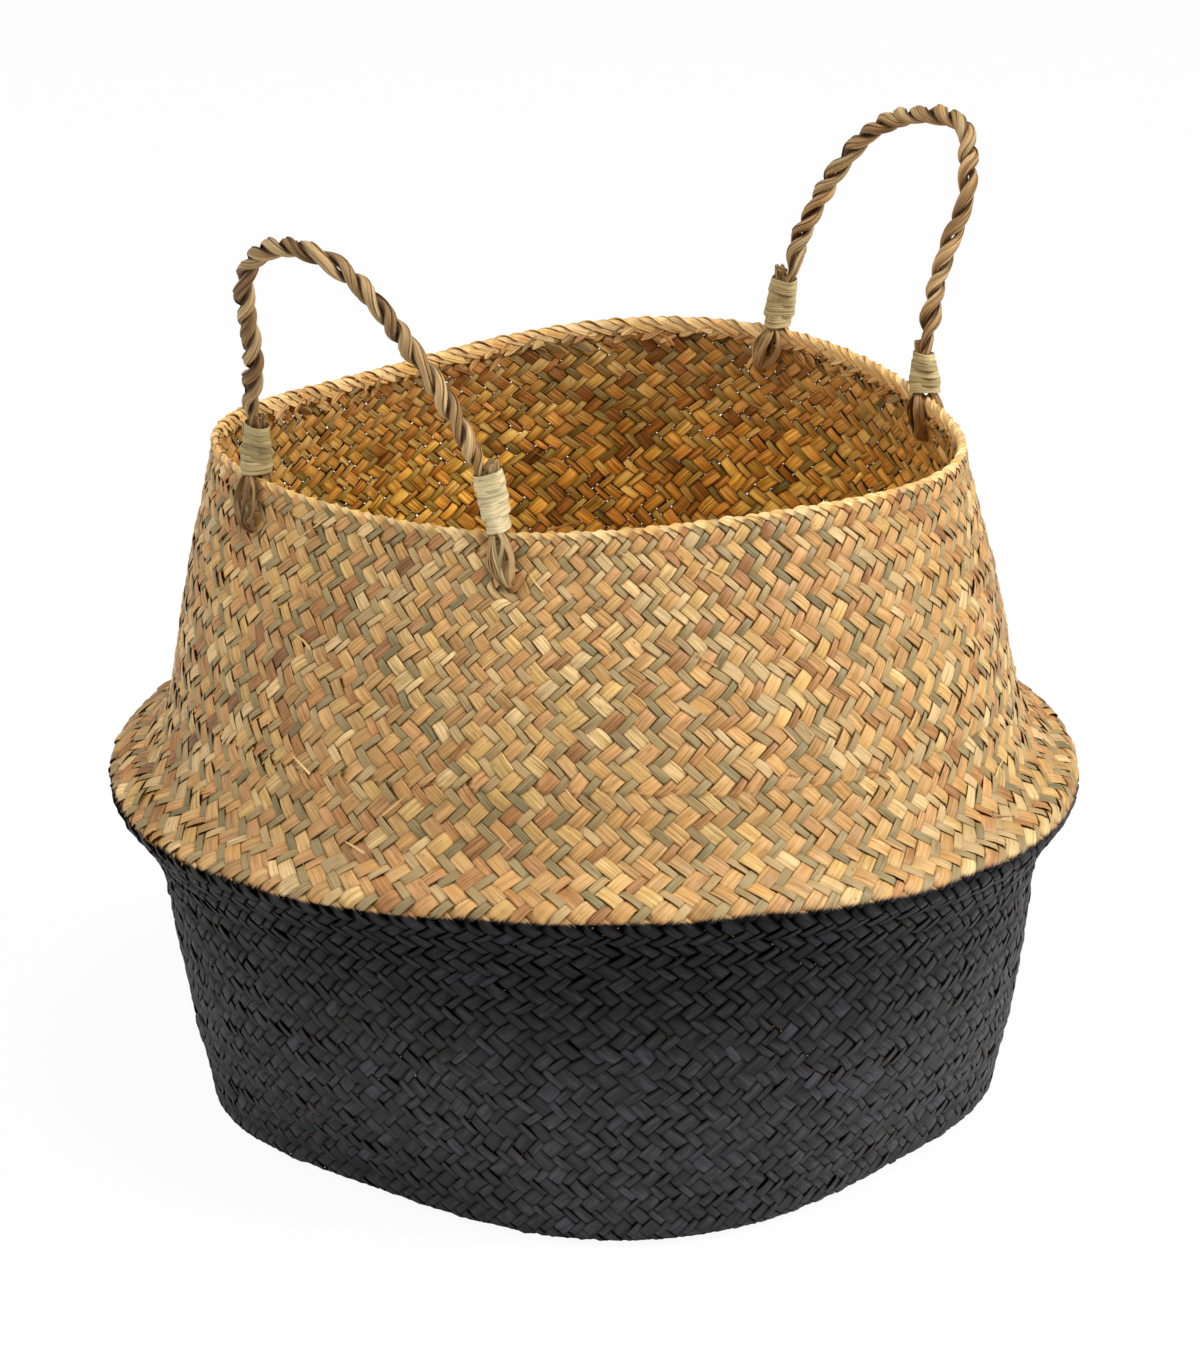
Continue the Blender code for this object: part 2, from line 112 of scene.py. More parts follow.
# Weave
STRANDS = 160
SIDE_STRANDS = STRANDS // 4
CELL_ANGLE = 2 * math.pi / STRANDS
ROWS_PER_ROUND_CELL = 1.10
TAN_WIDTH = 1.27
STRAND_THICKNESS = 0.00085
WEAVE_RISE = 0.00076
CORNER_CROWDING = 0.17
STATION_LEVELS = np.array([-0.25, 0.5, 1.25, 1.75, 2.5, 3.25, 3.75])
STATION_RISES = np.array([0.85, 1.15, 0.85, -0.85, -1.15, -0.85, 0.85])
STATION_WIDTHS = np.array([0.965, 1.0, 0.965, 0.965, 0.99, 0.965, 0.965])


def catmull(points, position):
    last = len(points) - 1
    i = min(max(int(position), 0), last - 1)
    t = position - i
    before = points[i - 1] if i > 0 else 2 * points[0] - points[1]
    after = points[i + 2] if i + 2 <= last else 2 * points[last] - points[last - 1]
    a, b = points[i], points[i + 1]
    return 0.5 * (2 * a + (b - before) * t + (2 * before - 5 * a + 4 * b - after) * t ** 2
                  + (3 * a - before - 3 * b + after) * t ** 3)


def profile_stations():
    half = SHEET / 2
    base = np.array([BASE_RADIUS - half, half])
    fold = np.array([FOLD_RADIUS - half, FOLD_HEIGHT])
    waist = np.array([WAIST_RADIUS - half, WAIST_HEIGHT])
    mouth = np.array([MOUTH_RADIUS - half, MOUTH_HEIGHT])
    stations = []
    for start, end, table in ((base, fold, BASE_TO_FOLD), (fold, waist, FOLD_TO_WAIST),
                              (waist, mouth, WAIST_TO_MOUTH)):
        stations += [start + (end - start) * np.array(shares) for shares in table]
    return stations


PROFILE = profile_stations()
FOLD_INDEX = len(BASE_TO_FOLD) - 1
WAIST_INDEX = FOLD_INDEX + len(FOLD_TO_WAIST)
MOUTH_INDEX = WAIST_INDEX + len(WAIST_TO_MOUTH)
POSITIONS = np.linspace(0, MOUTH_INDEX, 3001)
MIDDLE = np.array([catmull(PROFILE, p) for p in POSITIONS])
STEPS = np.linalg.norm(np.diff(MIDDLE, axis=0), axis=1)
CELL = MIDDLE[:, 0] * CELL_ANGLE
ROWS = np.concatenate([[0], np.cumsum(STEPS / ((CELL[1:] + CELL[:-1]) / 2))])
TARGET_ROWS = 2 * round((ROWS[-1] * ROWS_PER_ROUND_CELL - 1.5) / 2) + 1.5
W_TABLE = ROWS * TARGET_ROWS / ROWS[-1] - TARGET_ROWS + 1.5
W_BOTTOM, W_MOUTH = W_TABLE[0], W_TABLE[-1]
W_FOLD = float(np.interp(FOLD_INDEX, POSITIONS, W_TABLE))
W_WAIST = float(np.interp(WAIST_INDEX, POSITIONS, W_TABLE))
LENGTHS = np.concatenate([[0], np.cumsum(STEPS)])
W_RIM = float(np.interp(LENGTHS[-1] - RIM_BAND, LENGTHS, W_TABLE))


def waves(table, degrees):
    return sum(share * np.cos(order * np.radians(degrees - peak)) for order, share, peak in table)


def smooth(x):
    x = np.clip(x, 0.0, 1.0)
    return x * x * (3 - 2 * x)


def sheet(u, w):
    """Middle of the sheet at cell coordinates u, w, as in the part's source."""
    angle = u * CELL_ANGLE
    degrees = np.degrees(angle)
    radius = np.interp(w, W_TABLE, MIDDLE[:, 0])
    level = np.interp(w, W_TABLE, MIDDLE[:, 1])
    height = level.copy()
    low = np.clip(1 - level / FOLD_HEIGHT, 0, 1)
    radius = radius + BASE_CORNER_SWELL * low * np.cos(4 * (angle - math.radians(BASE_CORNER_ANGLE)))
    radius = radius + BASE_SHIFT * low * (2 - low) * np.cos(angle - math.radians(BASE_SHIFT_ANGLE))
    high = np.clip((MOUTH_HEIGHT - level) / (MOUTH_HEIGHT - FOLD_HEIGHT), 0, 1)
    share = np.where(level < FOLD_HEIGHT, smooth(1 - low), smooth(high))
    height = height + FOLD_DIP * share * waves(FOLD_WAVE, degrees)
    top = np.clip((level - WAIST_HEIGHT) / (MOUTH_HEIGHT - WAIST_HEIGHT), 0, 1)
    radius = radius + MOUTH_SHIFT * top * waves(MOUTH_PLAN, degrees)
    height = height + MOUTH_DIP * top * waves(MOUTH_WAVE, degrees)
    return np.stack([radius * np.cos(angle), radius * np.sin(angle), height], -1)


def unit(v):
    return v / np.maximum(np.linalg.norm(v, axis=-1, keepdims=True), 1e-12)


def sheet_frames(u, w):
    """Point, change per cell round, change per cell up, outward normal."""
    step = 0.04
    low, high = np.maximum(w - step, W_BOTTOM), np.minimum(w + step, W_MOUTH)
    round_cell = (sheet(u + step, w) - sheet(u - step, w)) / (2 * step)
    up_cell = (sheet(u, high) - sheet(u, low)) / (high - low)[..., None]
    normal = unit(np.cross(round_cell, up_cell))
    return sheet(u, w), round_cell, up_cell, normal


def place(u, w):
    """The sheet at weave coordinates: rows wander a little and crowd at the base's corners."""
    turn = u * CELL_ANGLE
    low = np.clip((W_FOLD - w) / (W_FOLD - W_BOTTOM), 0, 1)
    high = np.clip((w - W_FOLD) / (W_MOUTH - W_FOLD), 0, 1)
    free = np.sin(math.pi * low) ** 2 + np.sin(math.pi * high) ** 2
    corner = 4 * (turn - math.radians(BASE_CORNER_ANGLE))
    aside = -CORNER_CROWDING / 4 / CELL_ANGLE * np.sin(corner) * smooth(low)
    aside = aside + free * (0.45 * np.sin(3 * turn + 0.4) + 0.18 * np.sin(8 * turn + 1.9 + 0.2 * w))
    aside = aside + free * (0.10 * np.sin(19 * turn + 0.8 * w) + 0.08 * np.sin(31 * turn - 1.1 * w + 1.0))
    lift = free * (0.30 * np.sin(2 * turn + 0.7) + 0.22 * np.sin(5 * turn + 2.1))
    lift = lift + free * (0.09 * np.sin(14 * turn + 0.9 * w) + 0.07 * np.sin(37 * turn - 0.6 * w))
    return sheet(u + aside, w + lift)


def place_frames(u, w):
    step = 0.04
    low, high = np.maximum(w - step, W_BOTTOM), np.minimum(w + step, W_MOUTH)
    round_cell = place(u + step, w) - place(u - step, w)
    return place(u, w), unit(np.cross(round_cell, place(u, high) - place(u, low)))


def base_place(s, t):
    """Flat base: concentric squares of cells, drawn to the outline of the wall's bottom edge."""
    half = SIDE_STRANDS / 2
    reach = np.maximum(np.maximum(np.abs(s), np.abs(t)), 1e-6)
    side = half / reach
    on_x = np.abs(s) >= np.abs(t)
    u = np.where(on_x, np.where(s > 0, t * side, 2 * SIDE_STRANDS - t * side),
                 np.where(t > 0, SIDE_STRANDS - s * side, 3 * SIDE_STRANDS + s * side))
    point = place(u, np.full_like(u, W_BOTTOM)) / side[..., None]
    point[..., 2] = SHEET / 2
    return point


# Mesh building

def make_object(name, verts, faces, attributes, sharp=None):
    """Smooth mesh. sharp tells from two arrays of vertex numbers which edges stay hard."""
    mesh = bpy.data.meshes.new(name)
    verts = np.asarray(verts, np.float32)
    faces = np.asarray(faces, np.int32)
    mesh.vertices.add(len(verts))
    mesh.vertices.foreach_set("co", verts.ravel())
    mesh.loops.add(faces.size)
    mesh.loops.foreach_set("vertex_index", faces.ravel())
    mesh.polygons.add(len(faces))
    mesh.polygons.foreach_set("loop_start", np.arange(0, faces.size, faces.shape[1], dtype=np.int32))
    mesh.update(calc_edges=True)
    mesh.shade_smooth()
    if sharp:
        ends = np.empty(2 * len(mesh.edges), np.int32)
        mesh.edges.foreach_get("vertices", ends)
        hard = mesh.attributes.new("sharp_edge", "BOOLEAN", "EDGE")
        hard.data.foreach_set("value", sharp(ends[::2], ends[1::2]))
    for key, values in attributes.items():
        values = np.asarray(values, np.float32)
        kind = "FLOAT_VECTOR" if values.ndim == 2 else "FLOAT"
        made = mesh.attributes.new(key, kind, "POINT")
        made.data.foreach_set("vector" if kind == "FLOAT_VECTOR" else "value", values.ravel())
    obj = bpy.data.objects.new(name, mesh)
    bpy.context.scene.collection.objects.link(obj)
    return obj


# Ribbon sections as (across, up) shares of half the width and the whole thickness
FULL_SECTION = np.array([(-0.98, 0.10), (-0.84, 0.40), (0.0, 0.5), (0.84, 0.40), (0.98, 0.10),
                         (0.98, -0.10), (0.84, -0.40), (0.0, -0.5), (-0.84, -0.40), (-0.98, -0.10)])
OUTER_SECTION = np.array([(-0.98, 0.10), (-0.84, 0.40), (0.0, 0.5), (0.84, 0.40), (0.98, 0.10), (0.8, -0.5),
                          (-0.8, -0.5), (-0.9, -0.2)])


def ribbon_object(name, strands, section):
    """Closed ribbons. Each strand has rings (station, side, 3) and its grain, tint, dye values."""
    verts, faces, grain, tint, dye, inner, lift, capped = [], [], [], [], [], [], [], []
    start = 0
    k = len(section)
    bevels = [n for n in range(k) if abs(section[n, 0]) > 0.83]
    for s in strands:
        ring = s["ring"]
        m = len(ring)
        verts.append(ring.reshape(-1, 3))
        shape = (m, k)
        grain.append(np.stack([np.broadcast_to(s["along"].reshape(m, -1), shape),
                               s["half"][:, None] * section[:, 0],
                               np.full(shape, s["number"])], -1).reshape(-1, 3))
        # Third tint value: the place across the ribbon, drawn towards 1 by an edge share below 1. The leaf look reads
        # it for painted shade at the strand sides, the rope look for painted shade on one side of each leaf
        tint.append(np.stack([np.broadcast_to(s["select"][:, None], shape),
                              np.broadcast_to(s["shade"][:, None], shape),
                              np.broadcast_to(section[:, 0] * s.get("edge", 1.0) + 1 - s.get("edge", 1.0), shape)],
                             -1).reshape(-1, 3))
        # Faces below the middle are the inner side: their inner value carries painted warm bounce light and painted
        # relief, and lift, turned to that side, tells where the strand dips, for painted shade
        below = section[:, 1] < 0
        dye.append(np.where(below, -8.0, np.broadcast_to(s["dye"].reshape(m, -1), shape)).ravel())
        inner.append(np.broadcast_to(np.where(below, s.get("inner", 1.0), 0.0), shape).ravel())
        raised = s["lift"] if "lift" in s else np.where(below, -1.0, 1.0) * np.ones((m, 1))
        lift.append((raised * np.where(below, -1.0, 1.0)).ravel())
        i = start + np.arange(m - 1)[:, None] * k + np.arange(k)
        j = start + np.arange(m - 1)[:, None] * k + (np.arange(k) + 1) % k
        faces.append(np.stack([i, j, j + k, i + k], -1).reshape(-1, 4))
        for first, turned in ((start, True), (start + (m - 1) * k, False)):
            for n in range(1, k - 2, 2):
                quad = [first, first + n, first + n + 1, first + n + 2]
                faces.append(np.array([quad[::-1] if turned else quad]))
        cap = np.zeros(m * k, bool)
        cap[:k] = cap[-k:] = True
        capped.append(cap)
        start += m * k
    at_end = np.concatenate(capped)

    def hard(a, b):
        lengthwise = (a % k == b % k) & np.isin(a % k, bevels)
        return lengthwise | (at_end[a] & at_end[b] & (np.abs(a - b) < k))

    return make_object(name, np.concatenate(verts), np.concatenate(faces),
                       {"grain": np.concatenate(grain), "tint": np.concatenate(tint),
                        "dye": np.concatenate(dye), "inner": np.concatenate(inner),
                        "lift": np.concatenate(lift)}, hard)


def flat_ring(point, across, normal, half, thick, section):
    return (point[:, None, :] + across[:, None, :] * (half[:, None] * section[:, 0])[..., None]
            + normal[:, None, :] * (thick[:, None] * section[:, 1])[..., None])


# Looks of each strand and float, the same in every zone
FLOATS = 80


def strand_table(offset):
    """Colour choice and width of the strands of one direction: wide tan and narrow olive by turns."""
    number = np.arange(STRANDS)
    olive = (number + offset) % 2 == 1
    select = np.where(olive, rng.normal(0.89, 0.05, STRANDS), rng.normal(0.45, 0.07, STRANDS))
    odd = rng.random(STRANDS)
    select = np.where(odd < 0.05, rng.normal(0.16, 0.05, STRANDS), select)
    select = np.where((odd > 0.05) & (odd < 0.15), rng.normal(0.28, 0.04, STRANDS), select)
    select = np.where((odd > 0.80) & ~olive, rng.normal(0.66, 0.04, STRANDS), select)
    select = np.where((odd > 0.68) & olive, rng.normal(0.77, 0.03, STRANDS), select)
    width = np.where(olive, 2 - TAN_WIDTH, TAN_WIDTH) + rng.normal(0.0, 0.045, STRANDS)
    size = (STRANDS, FLOATS)
    return {
        "select": select, "width": width, "olive": olive,
        "shade": rng.normal(0.0, 0.05, STRANDS),
        "phase": rng.random(STRANDS) * 2 * math.pi,
        "float_select": rng.normal(0.0, 0.05, size), "float_shade": rng.normal(0.0, 0.08, size),
        "float_roll": rng.normal(0.0, 0.12, size), "float_rise": rng.normal(1.0, 0.22, size),
        "float_width": rng.normal(1.0, 0.04, size), "float_shift": rng.normal(0.0, 0.03, size),
    }


TABLES = {"a": strand_table(0), "b": strand_table(1)}


def dye_depth(u, w):
    """Millimetres below the brushed edge of the black dye, on the outside."""
    turn = u * CELL_ANGLE
    edge = W_FOLD + 0.05 + 0.09 * np.sin(3 * turn + 0.7) + 0.06 * np.sin(11 * turn) + 0.04 * np.sin(23 * turn + 1)
    return (edge - w) * np.interp(w, W_TABLE, CELL) * 1000


def levels_between(first, last):
    """Station levels from first to last, both ends included, the inner ones clear of the cut ends."""
    turns = np.arange(math.floor(first / 4) - 1, math.ceil(last / 4) + 1)
    every = (turns[:, None] * 4 + STATION_LEVELS[:-1]).ravel()
    return np.concatenate([[first], every[(every > first + 0.4) & (every < last - 0.4)], [last]])


def over(levels, values):
    return np.interp((levels + 0.25) % 4 - 0.25, STATION_LEVELS, values)


def push_from_holes(point, holes):
    for centre, reach in holes:
        away = point - centre
        distance = np.linalg.norm(away, axis=-1, keepdims=True)
        pushed = HOLE_RADIUS + distance * (reach - HOLE_RADIUS) / reach
        point = np.where(distance < reach, centre + away / np.maximum(distance, 1e-9) * pushed, point)
    return point


def weave_strands(family, first, last, section, holes=(), cut_first=True, cut_last=True, tight=0.0, roll=1.0):
    """All strands of one direction between two levels: a strands rise to the right, b to the left.

    The end rings are cut along the row, so that the pieces of two zones meet in the same ring."""
    table = TABLES[family]
    sign = 1 if family == "a" else -1
    number = np.arange(STRANDS)
    # The other direction's strands are wide and narrow by turns, so a float starts early or late
    early = (number % 2 == 1) == (family == "a")
    shift = np.where(early, -1, 1) * (TAN_WIDTH - 1) / 2
    levels = np.tile(levels_between(first, last), (STRANDS, 1))
    levels[:, 1:-1] += shift[:, None]
    if cut_first:
        levels[:, 1] = np.maximum(levels[:, 1], first + 0.25)
    if cut_last:
        levels[:, -2] = np.minimum(levels[:, -2], last - 0.25)
    floats = np.floor((levels - shift[:, None] + 0.5) / 2).astype(int) % FLOATS
    pick = lambda key: table[key][number[:, None], floats]
    wide = (0.97 + tight) * (over(levels - shift[:, None], STATION_WIDTHS) + tight)
    wide = wide * table["width"][:, None] * pick("float_width")
    across = 0.25 * wide[..., None] * section[:, 0]
    slide = np.zeros_like(across)
    if cut_first:
        slide += sign * across * np.clip(1 - (levels - first) / 1.1, 0, 1)[..., None]
    if cut_last:
        slide += sign * across * np.clip(1 - (last - levels) / 1.1, 0, 1)[..., None]
    along_w = levels[..., None] / 2 + slide
    u = number[:, None, None] + sign * along_w + across + pick("float_shift")[..., None]
    w = along_w - sign * across
    point, normal = place_frames(u, w)
    lift = sign * over(2 * along_w - shift[:, None, None], STATION_RISES)
    rise = lift * WEAVE_RISE
    cell = np.interp(w, W_TABLE, CELL)
    rise = rise * pick("float_rise")[..., None] + 1.4 * across * cell * np.sin(roll * pick("float_roll"))[..., None]
    point = push_from_holes(point, holes)
    ring = point + normal * (rise + STRAND_THICKNESS * section[:, 1])[..., None]
    length = np.interp(along_w, W_TABLE, LENGTHS) * math.sqrt(2)
    dye = dye_depth(u, w)
    # Share of painted warm bounce light on the inner side: 0.30 at the rim, growing to the whole 0.09 m below it
    warm_bounce = 0.30 + 0.70 * smooth((LENGTHS[-1] - np.interp(levels / 2, W_TABLE, LENGTHS)) / 0.09)
    return [{
        "ring": ring[i], "along": length[i], "half": 0.5 * math.sqrt(0.5) * wide[i] * cell[i, :, 0],
        "number": (i + (0.5 if family == "b" else 0.0)) * 0.731,
        "select": table["select"][i] + table["float_select"][i, floats[i]],
        "shade": table["shade"][i] + table["float_shade"][i, floats[i]], "dye": dye[i], "lift": lift[i],
        "inner": warm_bounce[i][:, None],
    } for i in range(STRANDS)]


def wall_piece(name, family, w_start, w_end, section, holes=(), tight=0.0, roll=1.0):
    strands = weave_strands(family, 2 * w_start, 2 * w_end, section, holes, tight=tight, roll=roll)
    return ribbon_object(name, strands, section)


def base_piece(name, family):
    """The flat base: strands along one diagonal, over and under in rows of concentric squares."""
    table = TABLES[family]
    flip = 1 if family == "a" else -1
    strands = []
    for p in range(-SIDE_STRANDS + 2, SIDE_STRANDS - 1):
        reach = SIDE_STRANDS - abs(p)
        marks = np.arange(-reach + 1, reach)
        level = np.abs(marks) + abs(p) - SIDE_STRANDS
        mine_over = np.isin(level % 4, (0, 1)) == (marks * p * flip > 0)
        spots, rises = [-reach], [0.0]
        m = 0
        while m < len(marks):
            n = m
            while n + 1 < len(marks) and mine_over[n + 1] == mine_over[m]:
                n += 1
            sign = 1.0 if mine_over[m] else -1.0
            spots += [marks[m] - 0.25, (marks[m] + marks[n]) / 2, marks[n] + 0.25]
            rises += [0.85 * sign, 1.15 * sign, 0.85 * sign]
            m = n + 1
        spots, rises = np.array(spots + [reach], float), np.array(rises + [0.0])
        line = lambda q, p: base_place((q + p) / 2, (q - p) / 2 * flip)
        point = line(spots, p)
        forward = unit(line(spots + 0.05, p) - line(spots - 0.05, p))
        normal = np.tile(np.array([0.0, 0.0, -1.0]), (len(spots), 1))
        across = unit(np.cross(forward, normal))
        spacing = np.abs(np.sum((line(spots, p + 0.1) - point) * across, -1)) * 10
        i = p % STRANDS
        half = np.clip(spacing, 0.002, 0.007) / 2 * 0.97 * table["width"][i]
        floats = np.round(spots / 2).astype(int) % FLOATS
        centre = point + normal * (rises * WEAVE_RISE)[:, None]
        strands.append({
            "ring": flat_ring(centre, across, normal, half, np.full(len(spots), STRAND_THICKNESS), OUTER_SECTION),
            "along": spots * 0.005, "half": half, "number": i * 0.731 + 50,
            "select": table["select"][i] + table["float_select"][i, floats],
            "shade": table["shade"][i] + table["float_shade"][i, floats], "dye": np.full(len(spots), 30.0),
        })
    return ribbon_object(name, strands, OUTER_SECTION)


# Materials

def linear(r, g, b):
    return tuple(((c / 255 + 0.055) / 1.055) ** 2.4 if c > 10 else c / 255 / 12.92 for c in (r, g, b)) + (1.0,)


def add(tree, kind, inputs=(), **settings):
    made = tree.nodes.new(kind)
    for key, value in settings.items():
        setattr(made, key, value)
    for key, value in dict(inputs).items():
        socket = made.inputs[key]
        if isinstance(value, bpy.types.NodeSocket):
            tree.links.new(value, socket)
        else:
            socket.default_value = value
    return made


def calc(tree, operation, *values, clamp=False):
    made = add(tree, "ShaderNodeMath", dict(enumerate(values)), operation=operation, use_clamp=clamp)
    return made.outputs[0]


def mixed(tree, factor, a, b, mode="MIX"):
    made = add(tree, "ShaderNodeMix", {0: factor, 6: a, 7: b}, data_type="RGBA", blend_type=mode)
    return made.outputs[2]


def ramp(tree, value, stops, interpolation="LINEAR"):
    made = add(tree, "ShaderNodeValToRGB", {0: value})
    made.color_ramp.interpolation = interpolation
    elements = made.color_ramp.elements
    while len(elements) < len(stops):
        elements.new(0.5)
    for element, (place, colour) in zip(elements, stops):
        element.position = place
        element.color = colour
    return made.outputs[0]


def step_up(tree, value, low, high):
    made = add(tree, "ShaderNodeMapRange", {0: value, 1: low, 2: high, 3: 0.0, 4: 1.0},
               interpolation_type="SMOOTHSTEP")
    return made.outputs[0]


def noise(tree, vector, scale, detail=2.0, roughness=0.5):
    scaled = add(tree, "ShaderNodeVectorMath", {0: vector, 1: scale}, operation="MULTIPLY").outputs[0]
    return add(tree, "ShaderNodeTexNoise", {"Vector": scaled, "Scale": 1.0, "Detail": detail,
                                            "Roughness": roughness}).outputs[0]


SEAGRASS_STOPS = (
    (0.00, linear(140, 94, 52)),
    (0.12, linear(166, 114, 63)),
    (0.22, linear(182, 127, 71)),
    (0.32, linear(204, 152, 95)),
    (0.42, linear(200, 150, 84)),
    (0.50, linear(214, 167, 104)),
    (0.58, linear(208, 166, 92)),
    (0.68, linear(230, 194, 136)),
    (0.77, linear(186, 154, 102)),
    (0.88, linear(164, 140, 92)),
    (1.00, linear(138, 122, 80)),
)


def new_material(name):
    made = bpy.data.materials.new(name)
    made.use_nodes = True
    tree = made.node_tree
    tree.nodes.clear()
    out = tree.nodes.new("ShaderNodeOutputMaterial")
    shader = tree.nodes.new("ShaderNodeBsdfPrincipled")
    tree.links.new(shader.outputs[0], out.inputs[0])
    return made, tree, shader


def tone(tree, value):
    return add(tree, "ShaderNodeCombineColor", {0: value, 1: value, 2: value}).outputs[0]


def seagrass(name, stops, dyed):
    """Dried leaf: fine lengthwise grain, painted shade at the strand edges and where strands dip under, a gold-tinted
    inner side painted with warm bounce light and relief, black dye outside below with painted light and sheen.
    """
    made, tree, shader = new_material(name)
    grain = add(tree, "ShaderNodeAttribute", attribute_name="grain").outputs["Vector"]
    tint = add(tree, "ShaderNodeAttribute", attribute_name="tint").outputs["Vector"]
    split = add(tree, "ShaderNodeSeparateXYZ", {0: tint}).outputs
    streak = step_up(tree, noise(tree, grain, (34.0, 900.0, 1.0), 2.0, 0.55), 0.32, 0.68)
    fine = noise(tree, grain, (90.0, 2600.0, 1.0), 2.0, 0.6)
    crease = step_up(tree, noise(tree, grain, (26.0, 780.0, 7.0), 1.0), 0.30, 0.40)
    mottle = noise(tree, grain, (110.0, 300.0, 3.0), 3.0, 0.6)
    drift = noise(tree, grain, (24.0, 0.0, 1.0), 1.0)
    select = calc(tree, "MULTIPLY_ADD", drift, 0.24, calc(tree, "SUBTRACT", split[0], 0.12))
    select = calc(tree, "MULTIPLY_ADD", mottle, 0.14, calc(tree, "SUBTRACT", select, 0.07))
    select = calc(tree, "MULTIPLY_ADD", streak, 0.06, calc(tree, "SUBTRACT", select, 0.03))
    colour = ramp(tree, select, stops)
    value = calc(tree, "MULTIPLY_ADD", streak, 0.34, 0.85)
    value = calc(tree, "ADD", value, calc(tree, "MULTIPLY_ADD", mottle, 0.44, -0.22))
    value = calc(tree, "ADD", value, calc(tree, "MULTIPLY_ADD", fine, 0.5, -0.25))
    value = calc(tree, "ADD", value, split[1])
    inner = add(tree, "ShaderNodeAttribute", attribute_name="inner").outputs["Fac"]
    # Painted light and shade on the inner side: the tone's spread is stretched there, up to about twice, for the
    # relief seen under grazing light
    painted_relief_contrast = calc(tree, "MULTIPLY_ADD", inner, 1.1, 1.0)
    value = calc(tree, "MULTIPLY_ADD", calc(tree, "SUBTRACT", value, 1.0), painted_relief_contrast, 1.0)
    value = calc(tree, "MULTIPLY", value, calc(tree, "MULTIPLY_ADD", crease, 0.24, 0.76))
    # Painted shade: darker where a strand dips under the crossing strand, read from its lift, and stronger on the
    # inner side
    lift = add(tree, "ShaderNodeAttribute", attribute_name="lift").outputs["Fac"]
    dive_shade = calc(tree, "SUBTRACT", 1.0, step_up(tree, lift, -0.40, 0.75))
    deep = calc(tree, "MULTIPLY_ADD", inner, 0.45, 0.42)
    value = calc(tree, "MULTIPLY", value, calc(tree, "SUBTRACT", 1.0, calc(tree, "MULTIPLY", dive_shade, deep)))
    # Painted shade along both sides of every strand, where the slits between strands fall dark; the black uses it too
    edge = step_up(tree, calc(tree, "ABSOLUTE", split[2]), 0.86, 1.0)
    value = calc(tree, "MULTIPLY", value, calc(tree, "MULTIPLY_ADD", edge, -0.30, 1.0))
    # Painted shade on the inner side: darker towards each strand's sides, as on a rounded float; the black's specular
    # level also drops there, leaving a painted highlight mid-float
    painted_rounding = step_up(tree, calc(tree, "ABSOLUTE", split[2]), 0.35, 1.0)
    turned = calc(tree, "MULTIPLY_ADD", calc(tree, "MULTIPLY", painted_rounding, inner), -0.42, 1.0)
    value = calc(tree, "MULTIPLY", value, turned)
    value = calc(tree, "MAXIMUM", value, 0.10)
    colour = mixed(tree, 1.0, colour, tone(tree, value), "MULTIPLY")
    spot = step_up(tree, noise(tree, grain, (260.0, 700.0, 5.0), 2.0), 0.64, 0.76)
    colour = mixed(tree, calc(tree, "MULTIPLY", spot, 0.5), colour, linear(104, 68, 38))
    rough = calc(tree, "MULTIPLY_ADD", streak, 0.16, 0.40)
    if dyed:
        # Painted warm bounce light: the inner side tinted towards gold, by the share in the inner attribute
        warm_bounce = mixed(tree, 1.0, colour, (1.56, 1.42, 0.62, 1.0), "MULTIPLY")
        colour = mixed(tree, inner, colour, warm_bounce)
        depth = add(tree, "ShaderNodeAttribute", attribute_name="dye").outputs["Fac"]
        frayed = calc(tree, "MULTIPLY_ADD", noise(tree, grain, (60.0, 2400.0, 1.0), 2.0), 4.4, -2.2)
        wet = calc(tree, "ADD", depth, frayed)
        stain = step_up(tree, wet, -1.5, 0.3)
        mask = step_up(tree, wet, -0.5, 0.6)
        bare = step_up(tree, noise(tree, grain, (700.0, 2600.0, 9.0), 2.0), 0.76, 0.82)
        mask = calc(tree, "MULTIPLY", mask, calc(tree, "MULTIPLY_ADD", bare, -0.6, 1.0))
        shadowed = calc(tree, "MULTIPLY_ADD", mottle, 0.7, calc(tree, "MULTIPLY", streak, 0.3))
        shadowed = calc(tree, "ADD", shadowed, calc(tree, "MULTIPLY", split[1], 0.9))
        black = ramp(tree, shadowed, (
            (0.20, linear(5, 4, 4)), (0.50, linear(15, 14, 14)), (0.85, linear(52, 52, 56))))
        # Painted light on the black: 0 just under the fold, rising to 0.7 further down; it lightens the black there
        # and raises its specular level, for the fold's shade above and the floor's reflection below
        painted_low_light = calc(tree, "MULTIPLY", step_up(tree, depth, 15.0, 130.0), 0.7)
        # Painted shade on the black: darker at the strand sides and where strands dip under; lighter lower down with
        # the painted low light
        dive_shade_factor = calc(tree, "SUBTRACT", 1.0, calc(tree, "MULTIPLY", dive_shade, 0.96))
        black_light_and_shade = calc(tree, "MULTIPLY", calc(tree, "MULTIPLY_ADD", edge, -0.6, 1.0), dive_shade_factor)
        black_light_and_shade = calc(tree, "MULTIPLY", black_light_and_shade, calc(tree, "ADD", painted_low_light, 0.8))
        black = mixed(tree, 1.0, black, tone(tree, black_light_and_shade), "MULTIPLY")
